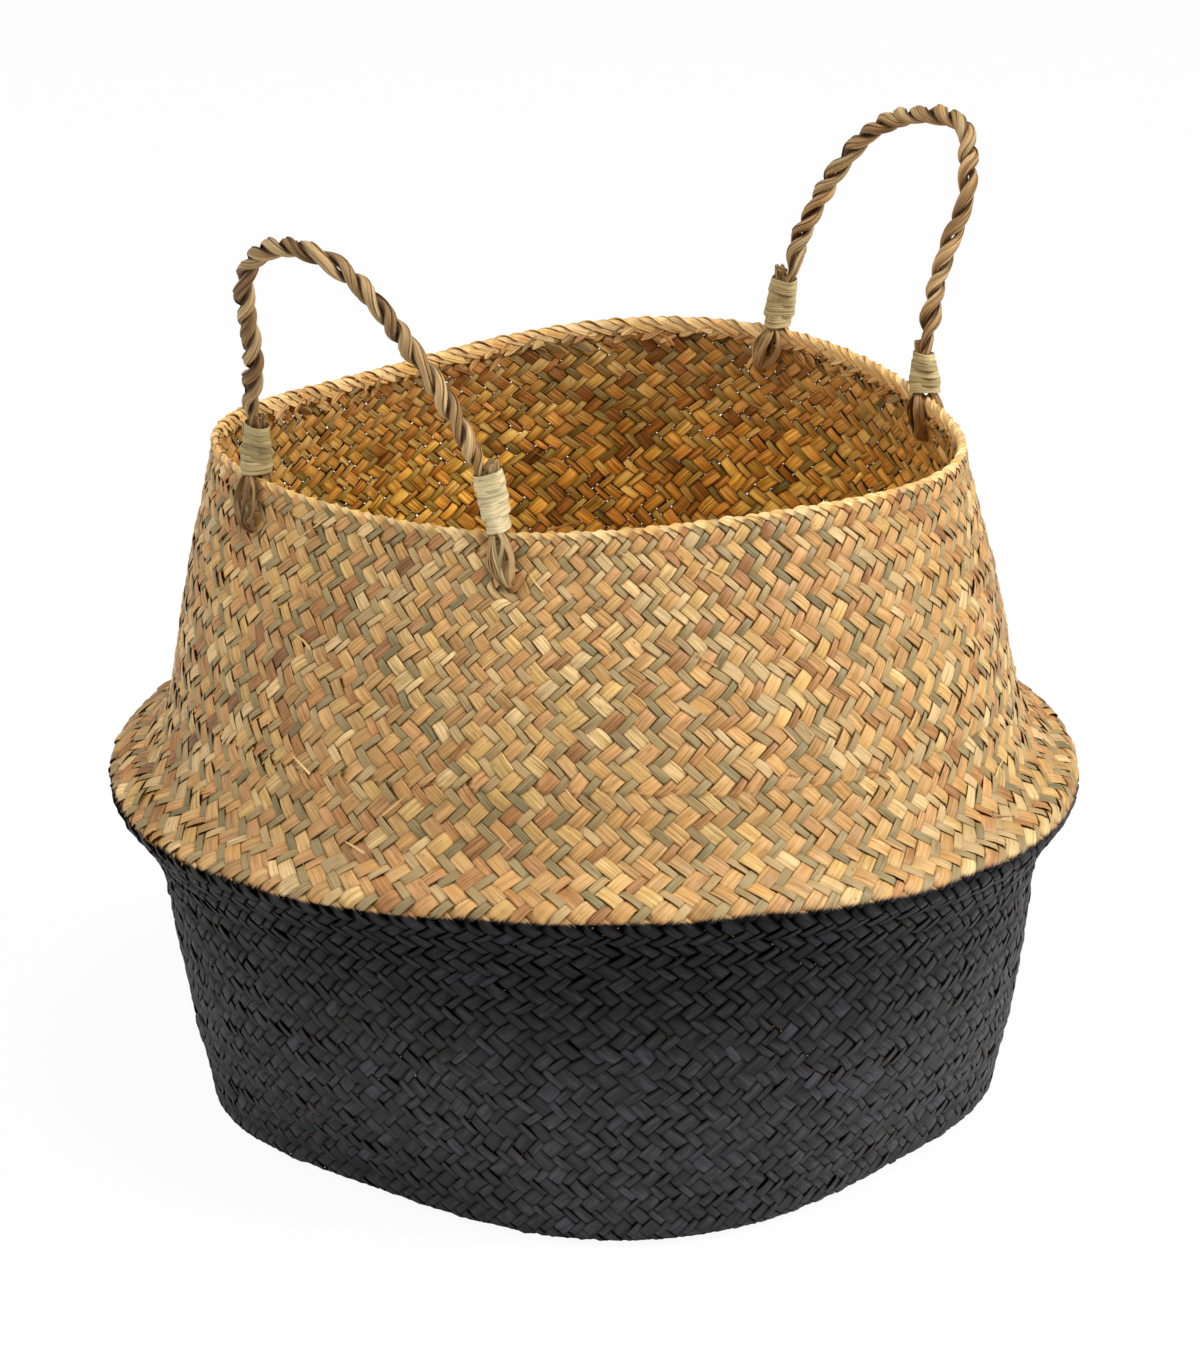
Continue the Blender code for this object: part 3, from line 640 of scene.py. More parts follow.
        # Specular level with painted sheen: on the black higher lower down and mid-float, lower at the strand sides;
        # everywhere it varies with the mottle and drops where strands dip under
        painted_sheen = calc(tree, "SUBTRACT", painted_low_light, calc(tree, "MULTIPLY_ADD", painted_rounding, 0.45, 0.62))
        gloss = calc(tree, "MULTIPLY_ADD", painted_sheen, calc(tree, "MULTIPLY", mask, 0.50), 0.50)
        gloss = calc(tree, "MULTIPLY", gloss, calc(tree, "MULTIPLY_ADD", mottle, 1.2, 0.4))
        tree.links.new(calc(tree, "MULTIPLY", gloss, dive_shade_factor), shader.inputs["Specular IOR Level"])
        colour = mixed(tree, calc(tree, "MULTIPLY", stain, 0.8), colour, linear(84, 58, 38))
        colour = mixed(tree, mask, colour, black)
    tree.links.new(colour, shader.inputs["Base Color"])
    tree.links.new(rough, shader.inputs["Roughness"])
    if not dyed:
        shader.inputs["Specular IOR Level"].default_value = 0.38
    height = calc(tree, "ADD", calc(tree, "MULTIPLY_ADD", fine, 0.6, streak), crease)
    bump = add(tree, "ShaderNodeBump", {"Height": height, "Strength": 0.7, "Distance": 0.0002})
    tree.links.new(bump.outputs[0], shader.inputs["Normal"])
    return made


WOVEN = seagrass("woven seagrass", SEAGRASS_STOPS, True)


def finish_piece(obj, look, body=None):
    obj.data.materials.append(look)
    if body:
        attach(obj, body)
    return obj


# Rope end frames, as in the part's source

def end_frame(name):
    degrees, height_share, lean_share = ENDS[name]
    u = np.array(degrees / 360 * STRANDS)
    top, round_cell, *_ = [np.array(x) for x in sheet_frames(u[None], np.array([W_MOUTH]))]
    top, along = top[0], unit(round_cell[0])
    lean = LEG_LEAN * HOLE_DEPTH / MOUTH_RADIUS / CELL_ANGLE
    w_hole = np.interp(LENGTHS[-1] - HOLE_DEPTH, LENGTHS, W_TABLE)
    low = sheet((u + lean)[None], np.array([w_hole]))[0]
    down = unit(low - top)
    outward = unit(np.cross(down, along))
    rise = unit(np.array([0.0, 0.0, 1.0]) + along * lean_share)
    sideways = unit(along - rise * (along @ rise))
    front = np.cross(sideways, rise)
    return {"top": top, "along": along, "down": down, "outward": outward, "rise": rise,
            "sideways": sideways, "front": front, "lashing": LASHING_HEIGHT * height_share}


FRAMES = {name: end_frame(name) for name in ENDS}
HOLES = [(f["top"] + f["down"] * HOLE_DEPTH, 0.0105) for f in FRAMES.values()]

# The woven sheet
for family in "ab":
    piece = finish_piece(base_piece("base_weave_" + family, family), WOVEN, "lower_basket")
    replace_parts(piece, "woven_base")
    piece = wall_piece("lower_weave_" + family, family, W_BOTTOM, W_FOLD, OUTER_SECTION, tight=0.055, roll=0.7)
    finish_piece(piece, WOVEN, "lower_basket")
    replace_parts(piece, "lower_wall")
    piece = finish_piece(wall_piece("fold_weave_" + family, family, W_FOLD, W_WAIST, FULL_SECTION, tight=0.035),
                         WOVEN)
    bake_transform(piece)
    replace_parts(piece, "belly_fold")
    piece = finish_piece(wall_piece("upper_weave_" + family, family, W_WAIST, W_RIM, FULL_SECTION, HOLES, tight=0.015),
                         WOVEN, "upper_basket")
    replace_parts(piece, "upper_wall")


# The rim: b strands fold over the edge and down the inside, a strands end inside as short tails
EDGE_RADIUS = 0.0013
EDGE_LEVEL = 2.42
ROW_LENGTH = MIDDLE[-1, 0] * CELL_ANGLE / ROWS_PER_ROUND_CELL
local = np.random.default_rng(7)


def rim_ring(u, offset, depth, facing_turn, half, roll):
    """Rings of a ribbon that runs along the edge: offset outward, depth below the top, in metres."""
    point, round_cell, up_cell, normal = sheet_frames(u, np.full(len(u), W_MOUTH))
    up = unit(up_cell)
    point = point + normal * offset[:, None] - up * depth[:, None]
    facing = normal * np.cos(facing_turn)[:, None] + up * np.sin(facing_turn)[:, None]
    forward = unit(np.gradient(point, axis=0))
    across = unit(np.cross(forward, facing))
    facing = np.cross(across, forward)
    turned = across * np.cos(roll)[:, None] + facing * np.sin(roll)[:, None]
    facing = facing * np.cos(roll)[:, None] - across * np.sin(roll)[:, None]
    return flat_ring(point, turned, facing, half, np.full(len(u), STRAND_THICKNESS), FULL_SECTION)


def wrap_over(i, low):
    table = TABLES["b"]
    turns = np.linspace(0.15, math.pi, 7)
    inside = 0.0052 + local.normal(0.0, 0.0006) + (0.0004 if table["olive"][i] else 0.0)
    shares = np.array([0.35, 0.7, 1.0])
    offset = np.concatenate([EDGE_RADIUS * np.cos(turns), -EDGE_RADIUS - np.array([0.0004, 0.0005, 0.0001])])
    depth = np.concatenate([EDGE_RADIUS * (1 - np.sin(turns)), EDGE_RADIUS + shares * inside])
    length = np.concatenate([EDGE_RADIUS * turns, EDGE_RADIUS * math.pi + shares * inside])
    lean = 1.95 + local.normal(0.0, 0.10)
    u = i - EDGE_LEVEL / 2 - 0.22 - length / ROW_LENGTH * lean
    facing_turn = np.concatenate([turns, [math.pi] * 3])
    half = 0.00172 * table["width"][i] ** 0.7 * local.normal(1.0, 0.09) * np.array([1.0] * 7 + [1.05, 1.0, 0.5])
    roll = 0.30 + 0.07 * np.sin(np.arange(10) * 0.6 + table["phase"][i])
    rings = rim_ring(u, offset, depth, facing_turn, half, roll)
    more = low["along"][-1].mean() + 0.001 + length
    count = len(u)
    # The wraps over the rim are painted paler and brighter than the strand below: a painted highlight where the fold
    # catches the light; they take only a small share of the painted warm bounce light inside
    return {
        "ring": np.concatenate([low["ring"], rings]), "number": low["number"],
        "along": np.concatenate([low["along"], np.repeat(more[:, None], len(FULL_SECTION), 1)]),
        "half": np.concatenate([low["half"], half]),
        "select": np.concatenate([low["select"], np.full(count, low["select"][-1] * 0.35 + 0.44)]),
        "shade": np.concatenate([low["shade"], np.full(count, low["shade"][-1] * 0.6 + 0.34)]),
        "dye": np.full(len(low["ring"]) + count, -30.0), "inner": 0.2,
        "lift": np.concatenate([low["lift"], np.tile(np.where(FULL_SECTION[:, 1] < 0, -1.0, 1.0), (count, 1))]),
    }


def tail(i, offset_share, low, way):
    """The cut end of a strand, slanted on the inside from a depth below the rim, its tip standing off."""
    count = 6
    share = np.linspace(0, 1, count)
    reach = local.uniform(0.5, 1.0)
    start = i + offset_share + local.uniform(-0.3, 0.3)
    u = start + way * share * reach * 1.6
    depth = low + share * reach * 0.0055 + local.uniform(-0.0006, 0.0012)
    lift = local.uniform(0.0002, 0.0032) * share ** 2
    offset = -0.0016 - lift
    half = 0.0017 * TABLES["a"]["width"][i] ** 0.6 * np.array([1, 1, 1, 1, 0.8, 0.15])
    rings = rim_ring(u, offset, depth, np.full(count, math.pi), half, np.full(count, local.normal(-0.15, 0.2)))
    # Inner 0.6: a lesser share of painted warm bounce light and relief on the tails
    return {"ring": rings, "along": share * reach * 0.01 + local.random(), "half": half, "number": i * 0.9 + 300,
            "select": np.full(count, local.choice([0.3, 0.42, 0.5, 0.62, 0.9])),
            "shade": np.full(count, local.normal(0.02, 0.08)), "dye": np.full(count, -30.0), "inner": 0.6}


def rim_piece():
    lows = weave_strands("b", 2 * W_RIM, EDGE_LEVEL, FULL_SECTION, cut_last=False)
    strands = [wrap_over(i, low) for i, low in enumerate(lows)]
    for s in weave_strands("a", 2 * W_RIM, 2.62, FULL_SECTION, cut_last=False):
        s["dye"] = np.full(len(s["ring"]), -30.0)
        strands.append(s)
    strands += [tail(i, 0.0, 0.0032, 1) for i in range(STRANDS) if local.random() < 0.85]
    strands += [tail(i, 0.5, 0.0075, local.choice([-1, 1])) for i in range(STRANDS) if local.random() < 0.45]
    return ribbon_object("rim_weave", strands, FULL_SECTION)


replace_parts(finish_piece(rim_piece(), WOVEN, "upper_basket"), "rim_border")


def splinter_piece():
    """Lifted fibres and broken bits of leaf, mostly on the outside of the upper wall."""
    strands = []
    for n in range(70):
        outside = n % 4 != 3
        u, w = local.uniform(0, STRANDS), local.uniform(W_FOLD + 2, W_MOUTH - 1.5)
        way = local.choice([-1, 1])
        count = 6
        share = np.linspace(0, 1, count)
        length = local.uniform(0.6, 1.8)
        bend = local.normal(0.0, 0.35)
        us = u + way * share * length + bend * share ** 2
        ws = np.minimum(w + share * length * local.uniform(0.4, 1.1), W_MOUTH - 1.0)
        point, normal = place_frames(us, ws)
        side = 1.0 if outside else -1.0
        lift = 0.0012 + local.uniform(0.0, 0.0022) * share ** 2
        point = point + normal * (side * lift)[:, None]
        forward = unit(np.gradient(point, axis=0))
        across = unit(np.cross(forward, normal * side))
        half = np.full(count, local.uniform(0.00025, 0.0007)) * np.array([1, 1, 0.95, 0.8, 0.6, 0.15])
        ring = flat_ring(point, across, np.cross(across, forward), half, np.full(count, 0.00025), OUTER_SECTION)
        strands.append({"ring": ring, "along": share * length * 0.006 + local.random(), "half": half,
                        "number": 500 + n * 0.7, "select": np.full(count, local.choice([0.12, 0.5, 0.62, 0.66])),
                        "shade": np.full(count, local.normal(0.08, 0.1)), "dye": np.full(count, -30.0)})
    return ribbon_object("lifted_fibres", strands, OUTER_SECTION)


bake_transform(finish_piece(splinter_piece(), WOVEN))


# Ropes

def dense_route(points, count):
    """Even points along a smooth curve through the given ones."""
    points = [np.array(p) for p in points]
    many = np.array([catmull(points, (len(points) - 1) * i / 1200) for i in range(1201)])
    lengths = np.concatenate([[0], np.cumsum(np.linalg.norm(np.diff(many, axis=0), axis=1))])
    at = np.linspace(0, lengths[-1], count)
    return np.stack([np.interp(at, lengths, many[:, c]) for c in range(3)], -1), at


def carried(points, side):
    forward = unit(np.gradient(points, axis=0))
    sides = []
    for f in forward:
        side = side - f * (side @ f)
        side = side / np.linalg.norm(side)
        sides.append(side)
    sides = np.array(sides)
    return forward, sides, np.cross(forward, sides)


# Columns of one leaf in a ply: place in the leaf, height, and how open to light it is
LEAF_PLACES = np.array([0.0, 0.10, 0.40, 0.72, 0.95])
LEAF_RISES = np.array([-0.75, -0.35, 0.25, 0.72, 1.0])
LEAF_LIGHT = np.array([0.0, 0.7, 0.9, 1.0, 0.95])


def ply_tubes(name, plies):
    """Closed tubes of overlapping leaves. Each ply: points, axes a and b, angles, radii and its tones."""
    verts, faces, grain, tint = [], [], [], []
    start = 0
    sides = plies[0]["radius"].shape[1]
    for ply in plies:
        point, angle, radius = ply["point"], ply["angle"], ply["radius"]
        m = len(point)
        out = ply["a"][:, None, :] * np.cos(angle)[..., None] + ply["b"][:, None, :] * np.sin(angle)[..., None]
        verts.append((point[:, None, :] + out * radius[..., None]).reshape(-1, 3))
        shape = (m, sides)
        leaf = np.arange(sides) // len(LEAF_PLACES)
        place = LEAF_PLACES[np.arange(sides) % len(LEAF_PLACES)]
        grain.append(np.stack([np.broadcast_to(ply["along"][:, None], shape),
                               np.broadcast_to(place * ply["leaf_width"] + leaf * 0.02, shape),
                               np.full(shape, ply["number"])], -1).reshape(-1, 3))
        light = LEAF_LIGHT[np.arange(sides) % len(LEAF_PLACES)] * smooth((np.cos(angle) + 0.35) / 0.75)
        tint.append(np.stack([np.broadcast_to(ply["select"][leaf], shape),
                              ply["shade"][leaf] + ply["fade"][:, None], 2 * light - 1], -1).reshape(-1, 3))
        i = start + np.arange(m - 1)[:, None] * sides + np.arange(sides)
        j = start + np.arange(m - 1)[:, None] * sides + (np.arange(sides) + 1) % sides
        faces.append(np.stack([i, j, j + sides, i + sides], -1).reshape(-1, 4))
        for first, flip in ((start, True), (start + (m - 1) * sides, False)):
            ids = first + np.arange(sides)
            for k in range(1, sides - 2, 2):
                quad = [ids[0], ids[k], ids[k + 1], ids[k + 2]]
                faces.append(np.array([quad[::-1] if flip else quad]))
        start += m * sides
    step = len(LEAF_PLACES)

    def hard(a, b):
        return (a % sides == b % sides) & np.isin(a % sides % step, (0, step - 1))

    return make_object(name, np.concatenate(verts), np.concatenate(faces),
                       {"grain": np.concatenate(grain), "tint": np.concatenate(tint)}, hard)


def laid_rope(points, side, seed, squeeze, fade, lay, ply_count, helix, thick, wide, leaves=4, step=0.15):
    """Plies of a laid rope along the points, each a flattened bundle of folded leaves, fat in places."""
    local = np.random.default_rng(seed)
    forward, a, b = carried(points, side)
    along = np.concatenate([[0], np.cumsum(np.linalg.norm(np.diff(points, axis=0), axis=1))])
    wave = lambda size, rate: size * np.sin(along * rate + local.random() * 6)
    run = along + wave(0.0018, 95) + wave(0.0010, 210)
    base = (np.arange(leaves)[:, None] + LEAF_PLACES).ravel() * 2 * math.pi / leaves
    rises = np.tile(LEAF_RISES, leaves)
    plies = []
    for p in range(ply_count):
        turn = 2 * math.pi * (p / ply_count + run / lay) + wave(0.16, 130)
        out = a * np.cos(turn)[:, None] + b * np.sin(turn)[:, None]
        fat = squeeze * (1 + wave(0.10, 230) + wave(0.09, 410))
        spread = 1 + wave(0.12, 170)
        centre = points + out * (helix * squeeze * spread)[:, None]
        lead = unit(np.gradient(centre, axis=0))
        x = unit(out - lead * np.sum(out * lead, -1)[:, None])
        y = np.cross(lead, x)
        own = -0.55 * turn + wave(0.5, 60) + wave(0.25, 180)
        angle = base[None, :] + own[:, None]
        depth = step * (1 + 0.5 * np.sin(along[:, None] * local.uniform(120, 260, leaves) + local.random(leaves) * 6))
        flat = 1 / np.sqrt((np.cos(angle) / thick) ** 2 + (np.sin(angle) / wide) ** 2)
        ridges = 1 + np.repeat(depth, len(LEAF_PLACES), 1) * rises
        plies.append({"point": centre, "a": x, "b": y, "angle": angle, "radius": fat[:, None] * flat * ridges,
                      "along": along, "number": seed * 3.1 + p * 1.7, "leaf_width": math.pi * (thick + wide) / leaves,
                      "select": local.uniform(0.15, 1.0, leaves), "shade": local.normal(0.0, 0.10, leaves),
                      "fade": fade + wave(0.07, 75) + wave(0.05, 190)})
    return plies


ROPE_STOPS = (
    (0.00, linear(116, 80, 44)),
    (0.25, linear(154, 116, 70)),
    (0.50, linear(180, 142, 92)),
    (0.75, linear(210, 176, 124)),
    (1.00, linear(160, 140, 94)),
)


def leaf_bundle(name, stops):
    """Rope of twisted leaf: long deep grooves, paler and darker leaves side by side, painted shade where leaves turn
    towards the other ply or lie under a neighbour.
    """
    made, tree, shader = new_material(name)
    grain = add(tree, "ShaderNodeAttribute", attribute_name="grain").outputs["Vector"]
    tint = add(tree, "ShaderNodeAttribute", attribute_name="tint").outputs["Vector"]
    split = add(tree, "ShaderNodeSeparateXYZ", {0: tint}).outputs
    leaf = noise(tree, grain, (30.0, 500.0, 1.0), 2.0)
    streak = noise(tree, grain, (40.0, 1500.0, 1.0), 3.0, 0.6)
    mottle = noise(tree, grain, (120.0, 400.0, 3.0), 3.0, 0.6)
    select = calc(tree, "ADD", split[0], calc(tree, "MULTIPLY_ADD", leaf, 0.8, -0.4))
    colour = ramp(tree, select, stops)
    value = calc(tree, "MULTIPLY_ADD", streak, 0.9, 0.52)
    value = calc(tree, "ADD", value, calc(tree, "MULTIPLY_ADD", mottle, 0.5, -0.25))
    value = calc(tree, "ADD", value, split[1])
    groove = step_up(tree, streak, 0.36, 0.46)
    value = calc(tree, "MULTIPLY", value, calc(tree, "MULTIPLY_ADD", groove, 0.5, 0.5))
    colour = mixed(tree, 1.0, colour, tone(tree, value), "MULTIPLY")
    # Painted shade: the sides of leaves turned towards the other ply or under a neighbour darken towards dark brown
    crevice_shade = calc(tree, "SUBTRACT", 1.0, step_up(tree, split[2], -1.0, 0.4))
    colour = mixed(tree, calc(tree, "MULTIPLY", crevice_shade, 0.80), colour, linear(78, 50, 27))
    tree.links.new(colour, shader.inputs["Base Color"])
    tree.links.new(calc(tree, "MULTIPLY_ADD", streak, 0.2, 0.45), shader.inputs["Roughness"])
    shader.inputs["Specular IOR Level"].default_value = 0.35
    height = calc(tree, "ADD", calc(tree, "MULTIPLY", leaf, 1.2), streak)
    bump = add(tree, "ShaderNodeBump", {"Height": height, "Strength": 0.8, "Distance": 0.0004})
    tree.links.new(bump.outputs[0], shader.inputs["Normal"])
    return made


ROPE_LOOK = leaf_bundle("twisted seagrass rope", ROPE_STOPS)
RAFFIA_STOPS = (
    (0.00, linear(150, 132, 88)),
    (0.30, linear(182, 161, 108)),
    (0.60, linear(208, 188, 136)),
    (1.00, linear(232, 212, 166)),
)
RAFFIA_LOOK = seagrass("raffia", RAFFIA_STOPS, False)


# The lashed bundle of rope and stub: half the distance of the two runs, low down and at the top
SPREAD_LOW, SPREAD_HIGH = 0.0030, 0.0023
BUNDLE_REACH = 0.0034
LEG_OFFSET = RIM_THICKNESS / 2 + 0.0026


def half_spread(f, height):
    return SPREAD_LOW + (SPREAD_HIGH - SPREAD_LOW) * smooth(height / f["lashing"])


def above_rim(f, height, long_way, short_way=0.0):
    turn = math.pi / 2 * smooth(height / f["lashing"])
    sideways = short_way * np.cos(turn) - long_way * np.sin(turn)
    front = long_way * np.cos(turn) + short_way * np.sin(turn)
    return f["top"] + f["sideways"] * sideways + f["front"] * front + f["rise"] * height


def below_rim(f, outward, depth):
    return f["top"] + f["outward"] * outward + f["down"] * depth


def end_route(f):
    """From the lashed rope down the outside, through the wall and up the inside to the stub."""
    lashing = f["lashing"]
    bend = HOLE_DEPTH - LEG_OFFSET * 0.6
    heights = [lashing * share for share in (1.0, 0.8, 0.5, 0.2)]
    route = [above_rim(f, h, half_spread(f, h)) for h in heights]
    route += [below_rim(f, LEG_OFFSET * 0.95, 0.003), below_rim(f, LEG_OFFSET, bend * 0.7)]
    for i in range(0, 7):
        turn = math.pi * i / 6
        route.append(below_rim(f, LEG_OFFSET * math.cos(turn), bend + LEG_OFFSET * 0.8 * math.sin(turn)))
    route += [below_rim(f, -LEG_OFFSET, bend * 0.7), below_rim(f, -LEG_OFFSET * 0.95, 0.003)]
    route += [above_rim(f, h, -half_spread(f, h)) for h in heights[::-1]]
    route.append(above_rim(f, lashing + STUB_HEIGHT, -SPREAD_HIGH - 0.0004))
    return route


def pivot(name):
    f = FRAMES[name]
    return above_rim(f, f["lashing"] + PAD_HEIGHT + GAP + ROPE_RADIUS, BUNDLE_SPREAD / 2)


def arch_route(name):
    first, second, lean, arch = HANDLES[name]
    a, b = pivot(first), pivot(second)
    chord = b - a
    up = np.array([0.0, 0.0, 1.0])
    outward = unit(np.cross(chord, up))
    if outward @ (a + b) < 0:
        outward = -outward
    upright = unit(up - unit(chord) * (up @ unit(chord)))
    tilt = math.radians(lean)
    rise = upright * math.cos(tilt) + outward * math.sin(tilt)
    roots = []
    for end in (first, second):
        f = FRAMES[end]
        roots.append([above_rim(f, f["lashing"] * s, half_spread(f, f["lashing"] * s) + more)
                      for s, more in ((0.5, 0.0), (0.8, 0.0), (1.0, 0.0006))])
    return roots[0] + [a + chord * s + rise * HANDLE_HEIGHT * t for s, t in arch] + roots[1][::-1], outward


# How pale each handle's rope is, and how much paler towards its second end
FADES = ((-0.02, 0.24), (0.16, 0.04))
for index, name in enumerate(HANDLES):
    route, outward = arch_route(name)
    points, along = dense_route(route, 420)
    total = along[-1]
    fade = FADES[index][0] + FADES[index][1] * smooth((along / total - 0.62) / 0.25)
    squeeze = 0.62 + 0.38 * smooth((np.minimum(along, total - along) - 0.014) / 0.012)
    rope = ply_tubes(name + "_strands", laid_rope(points, outward, 11 + index, squeeze, fade, 0.0255, 2,
                                                  0.0023, 0.0021, 0.0026))
    finish_piece(rope, ROPE_LOOK)
    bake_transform(rope)
    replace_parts(rope, name + "_rope")


# Colour choice and shade of each end's loose leaves
LEG_TONES = {
    "near_left": (0.22, -0.06),
    "near_right": (0.72, 0.10),
    "far_left": (0.66, 0.05),
    "far_right": (0.50, 0.02),
}


def leg_leaves(f, seed, select, shade):
    """Untwisted leaves of a rope end: spread over the wall, gathered in the hole and the lashing."""
    local = np.random.default_rng(seed)
    points, along = dense_route(end_route(f), 120)
    forward, a, b = carried(points, f["sideways"])
    lashed = f["lashing"] - 0.001
    share = np.clip((np.minimum(along, along[-1] - STUB_HEIGHT - along) - lashed) / (HOLE_DEPTH + 0.001), 0, 1)
    spread = np.sin(share * math.pi) ** 0.7
    strands = []
    for k in range(11):
        wave = lambda size, rate: size * np.sin(along * rate + local.random() * 6)
        turn = 2 * math.pi * k / 11 + wave(0.5, 70) + local.normal(0.0, 0.3) + along * 18
        reach = 0.0013 + spread * (0.0007 + local.uniform(0.0, 0.0018)) + wave(0.0002, 300)
        wide = (1.35 + 0.75 * spread) * reach * np.cos(turn)
        point = points + a * wide[:, None] + b * (0.75 * reach * np.sin(turn))[:, None]
        lead = unit(np.gradient(point, axis=0))
        facing_turn = turn + wave(0.7, 90) * (0.3 + spread) + local.normal(0.0, 0.3)
        facing = a * np.cos(facing_turn)[:, None] + b * np.sin(facing_turn)[:, None]
        across = unit(np.cross(lead, facing))
        half = local.uniform(0.0008, 0.0016) * (1 + wave(0.18, 140) + wave(0.10, 330))
        half[-1] *= 0.8
        ring = flat_ring(point, across, np.cross(across, lead), half, np.full(len(along), 0.0008), FULL_SECTION)
        # Edge 0.55: softer painted shade on one side of each leaf in the rope look
        strands.append({"ring": ring, "along": along, "half": half, "number": seed + k * 1.9,
                        "select": np.full(len(along), select + local.normal(0.0, 0.16)),
                        "shade": np.full(len(along), shade + local.normal(0.0, 0.09)),
                        "dye": np.full(len(along), -30.0), "edge": 0.55})
    return strands


def fibre_brush(f, number, select, shade):
    """Cut fibres that stand out of the stub's end."""
    strands = []
    for n in range(30):
        turn, out = local.uniform(0, 2 * math.pi), math.sqrt(local.random())
        long_way = -SPREAD_HIGH - 0.0004 + 0.0022 * out * math.cos(turn)
        short_way = 0.0028 * out * math.sin(turn)
        low = above_rim(f, f["lashing"] - 0.001, long_way, short_way)
        high = above_rim(f, f["lashing"] + STUB_HEIGHT + local.uniform(-0.0005, 0.0020),
                         long_way - 0.0006 + local.normal(0.0, 0.0006), short_way + local.normal(0.0, 0.0007))
        share = np.linspace(0, 1, 5)
        point = low + (high - low) * share[:, None] + f["front"] * (local.normal(0.0, 0.0005) * share * share)[:, None]
        forward = unit(np.gradient(point, axis=0))
        facing = unit(np.array([local.normal(), local.normal(), 0.1]))
        across = unit(np.cross(forward, facing))
        half = np.full(5, local.uniform(0.0006, 0.0013)) * np.array([1, 1, 1, 0.95, 0.7])
        ring = flat_ring(point, across, np.cross(across, forward), half, np.full(5, 0.0004), OUTER_SECTION)
        # Edge 0.6: softer painted shade on one side of each fibre in the rope look
        strands.append({"ring": ring, "along": share * 0.008 + local.random(), "half": half,
                        "number": number + n * 0.61, "select": np.full(5, select + local.normal(0.0, 0.15)),
                        "shade": np.full(5, shade + local.normal(0.0, 0.12)), "dye": np.full(5, -30.0), "edge": 0.6})
    return strands


for index, name in enumerate(ENDS):
    f = FRAMES[name]
    legs = ribbon_object(name + "_legs", leg_leaves(f, 31 + index, *LEG_TONES[name]), FULL_SECTION)
    finish_piece(legs, ROPE_LOOK, "upper_basket")
    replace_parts(legs, name + "_rope_end")
    brush = ribbon_object(name + "_fibres", fibre_brush(f, 700 + index * 40, *LEG_TONES[name]), OUTER_SECTION)
    finish_piece(brush, ROPE_LOOK, "upper_basket")


def raffia_piece(name, turns, overlap, select, slant, seed):
    """A flat raffia ribbon wound round both runs of rope from the top down, its turns overlapping."""
    local = np.random.default_rng(seed)
    f = FRAMES[name]
    strands = []
    pitch = (f["lashing"] - 0.0034) / turns
    for turn in range(turns):
        start = 0.0026 + pitch * (turn + 0.5) - pitch / 2
        angle = np.linspace(0, 2 * math.pi * 1.12, 44) + local.random() * 6
        tilt = slant + local.normal(0.0, 0.035)
        wander = 0.00022 * np.sin(angle * 1.7 + local.random() * 6) + 0.00012 * np.sin(angle * 3.1)
        height = start + pitch * 0.5 + tilt * BUNDLE_REACH * np.cos(angle - 0.6) + wander
        swell = 0.0004 + 0.0003 * (turn % 2) + local.random() * 0.0002 + 0.0002 * (angle - angle[0]) / 7
        place, middle = [], []
        for t, h, s in zip(angle, height, swell):
            h = max(h, 0.0008)
            long_way = half_spread(f, h) * math.tanh(2.4 * math.cos(t)) + (BUNDLE_REACH + s) * math.cos(t)
            place.append(above_rim(f, h, long_way, (BUNDLE_REACH + s) * math.sin(t)))
            middle.append(above_rim(f, h, half_spread(f, h) * math.tanh(2.4 * math.cos(t))))
        place = np.array(place)
        forward = unit(np.gradient(place, axis=0))
        out = unit(place - np.array(middle))
        out = unit(out - forward * np.sum(out * forward, -1)[:, None])
        across = np.cross(forward, out)
        roll = np.full(len(angle), 0.10 + local.normal(0.0, 0.05))
        turned = across * np.cos(roll)[:, None] + out * np.sin(roll)[:, None]
        facing = out * np.cos(roll)[:, None] - across * np.sin(roll)[:, None]
        length = np.concatenate([[0], np.cumsum(np.linalg.norm(np.diff(place, axis=0), axis=1))])
        half = np.full(len(angle), pitch * overlap / 2) * (1 + 0.07 * np.sin(length * 260 + local.random() * 6))
        half[-1] *= 0.5
        strands.append({
            "ring": flat_ring(place, turned, facing, half, np.full(len(angle), 0.0004), FULL_SECTION),
            "half": half, "along": length + local.random(), "number": seed + turn * 1.3,
            "select": np.full(len(angle), select + local.normal(0, 0.07)),
            "shade": np.full(len(angle), local.normal(0.0, 0.04)), "dye": np.full(len(angle), -30.0),
        })
    return ribbon_object(name + "_raffia", strands, FULL_SECTION)


# Turns, overlap, colour and slant of each lashing
RAFFIA = {
    "near_left": (8, 1.40, 0.26, 0.03),
    "near_right": (4, 1.22, 0.92, -0.26),
    "far_left": (4, 1.20, 0.44, 0.14),
    "far_right": (5, 1.22, 0.38, -0.12),
}
for index, name in enumerate(ENDS):
    piece = raffia_piece(name, *RAFFIA[name], 51 + index)
    finish_piece(piece, RAFFIA_LOOK, "upper_basket")
    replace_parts(piece, name + "_lashing")


# Floor, backdrop, light and camera

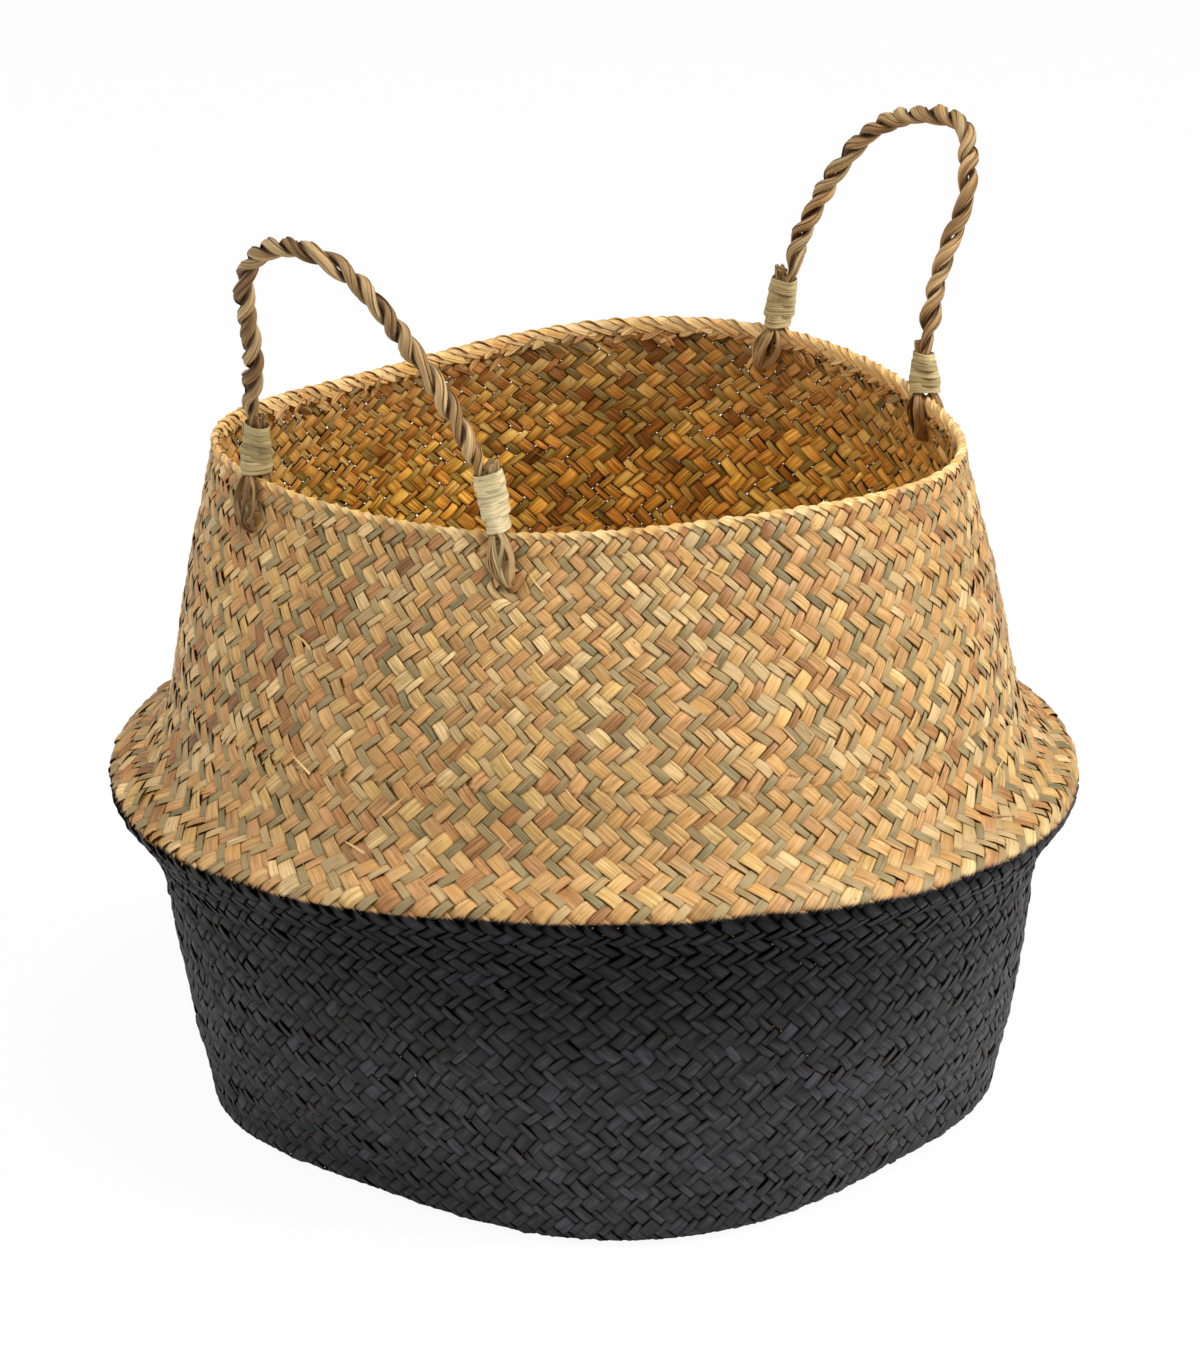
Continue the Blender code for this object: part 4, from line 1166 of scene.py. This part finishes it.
def stage_floor():
    size = 14.0
    mesh = bpy.data.meshes.new("floor")
    mesh.from_pydata([(-size, -size, 0), (size, -size, 0), (size, size, 0), (-size, size, 0)], [], [(0, 1, 2, 3)])
    floor = bpy.data.objects.new("floor", mesh)
    bpy.context.scene.collection.objects.link(floor)
    made = bpy.data.materials.new("white floor")
    made.use_nodes = True
    tree = made.node_tree
    tree.nodes.clear()
    out = tree.nodes.new("ShaderNodeOutputMaterial")
    seen = add(tree, "ShaderNodeLightPath").outputs["Is Camera Ray"]
    paper = add(tree, "ShaderNodeBsdfDiffuse", {"Color": (0.86, 0.86, 0.86, 1.0)}).outputs[0]
    glow = add(tree, "ShaderNodeEmission", {"Color": (1, 1, 1, 1), "Strength": 1.02}).outputs[0]
    share = calc(tree, "MULTIPLY", seen, 0.92)
    shown = add(tree, "ShaderNodeMixShader", {0: share, 1: paper, 2: glow}).outputs[0]
    tree.links.new(shown, out.inputs[0])
    floor.data.materials.append(made)


def white_world(strength):
    world = bpy.data.worlds.new("studio")
    bpy.context.scene.world = world
    world.use_nodes = True
    tree = world.node_tree
    tree.nodes.clear()
    out = tree.nodes.new("ShaderNodeOutputWorld")
    path = add(tree, "ShaderNodeLightPath").outputs
    seen = calc(tree, "MAXIMUM", path["Is Camera Ray"], path["Is Transmission Ray"])
    level = calc(tree, "MULTIPLY_ADD", seen, 0.965 - strength, strength)
    light = add(tree, "ShaderNodeBackground", {"Color": (1, 1, 1, 1), "Strength": level}).outputs[0]
    tree.links.new(light, out.inputs[0])


def area_light(name, azimuth, elevation, distance, size, energy, colour=(1, 1, 1)):
    """A soft box. Azimuth is from the camera's side, positive to the right."""
    turn, lift = math.radians(CAMERA_AZIMUTH + azimuth), math.radians(elevation)
    place = Vector((math.sin(turn) * math.cos(lift), -math.cos(turn) * math.cos(lift), math.sin(lift)))
    data = bpy.data.lights.new(name, "AREA")
    data.shape = "SQUARE"
    data.size = size
    data.energy = energy
    data.color = colour
    lamp = bpy.data.objects.new(name, data)
    lamp.location = place * distance + Vector((0, 0, 0.2))
    lamp.rotation_euler = (-place).to_track_quat("-Z", "Y").to_euler()
    bpy.context.scene.collection.objects.link(lamp)


CAMERA_AZIMUTH = -52.0
CAMERA_ELEVATION = 19.2
CAMERA_DISTANCE = 3.0
LOOK_AT = Vector((0.0, 0.0, 0.1977))


def photo_camera():
    turn, lift = math.radians(CAMERA_AZIMUTH), math.radians(CAMERA_ELEVATION)
    back = Vector((math.sin(turn) * math.cos(lift), -math.cos(turn) * math.cos(lift), math.sin(lift)))
    data = bpy.data.cameras.new("camera")
    data.sensor_width = 36.0
    data.lens = 6641 / 1360 * 36.0
    data.shift_x = 6 / 1360
    data.clip_start, data.clip_end = 0.1, 60.0
    camera = bpy.data.objects.new("camera", data)
    camera.location = LOOK_AT + back * CAMERA_DISTANCE
    camera.rotation_euler = (-back).to_track_quat("-Z", "Y").to_euler()
    bpy.context.scene.collection.objects.link(camera)
    bpy.context.scene.camera = camera


stage_floor()
white_world(0.36)
area_light("key", 76, 38, 2.6, 1.0, 43)
area_light("top", 20, 66, 2.4, 1.1, 19)
area_light("fill", -88, 40, 2.8, 1.4, 23)
photo_camera()
bpy.context.scene.view_settings.view_transform = "Standard"
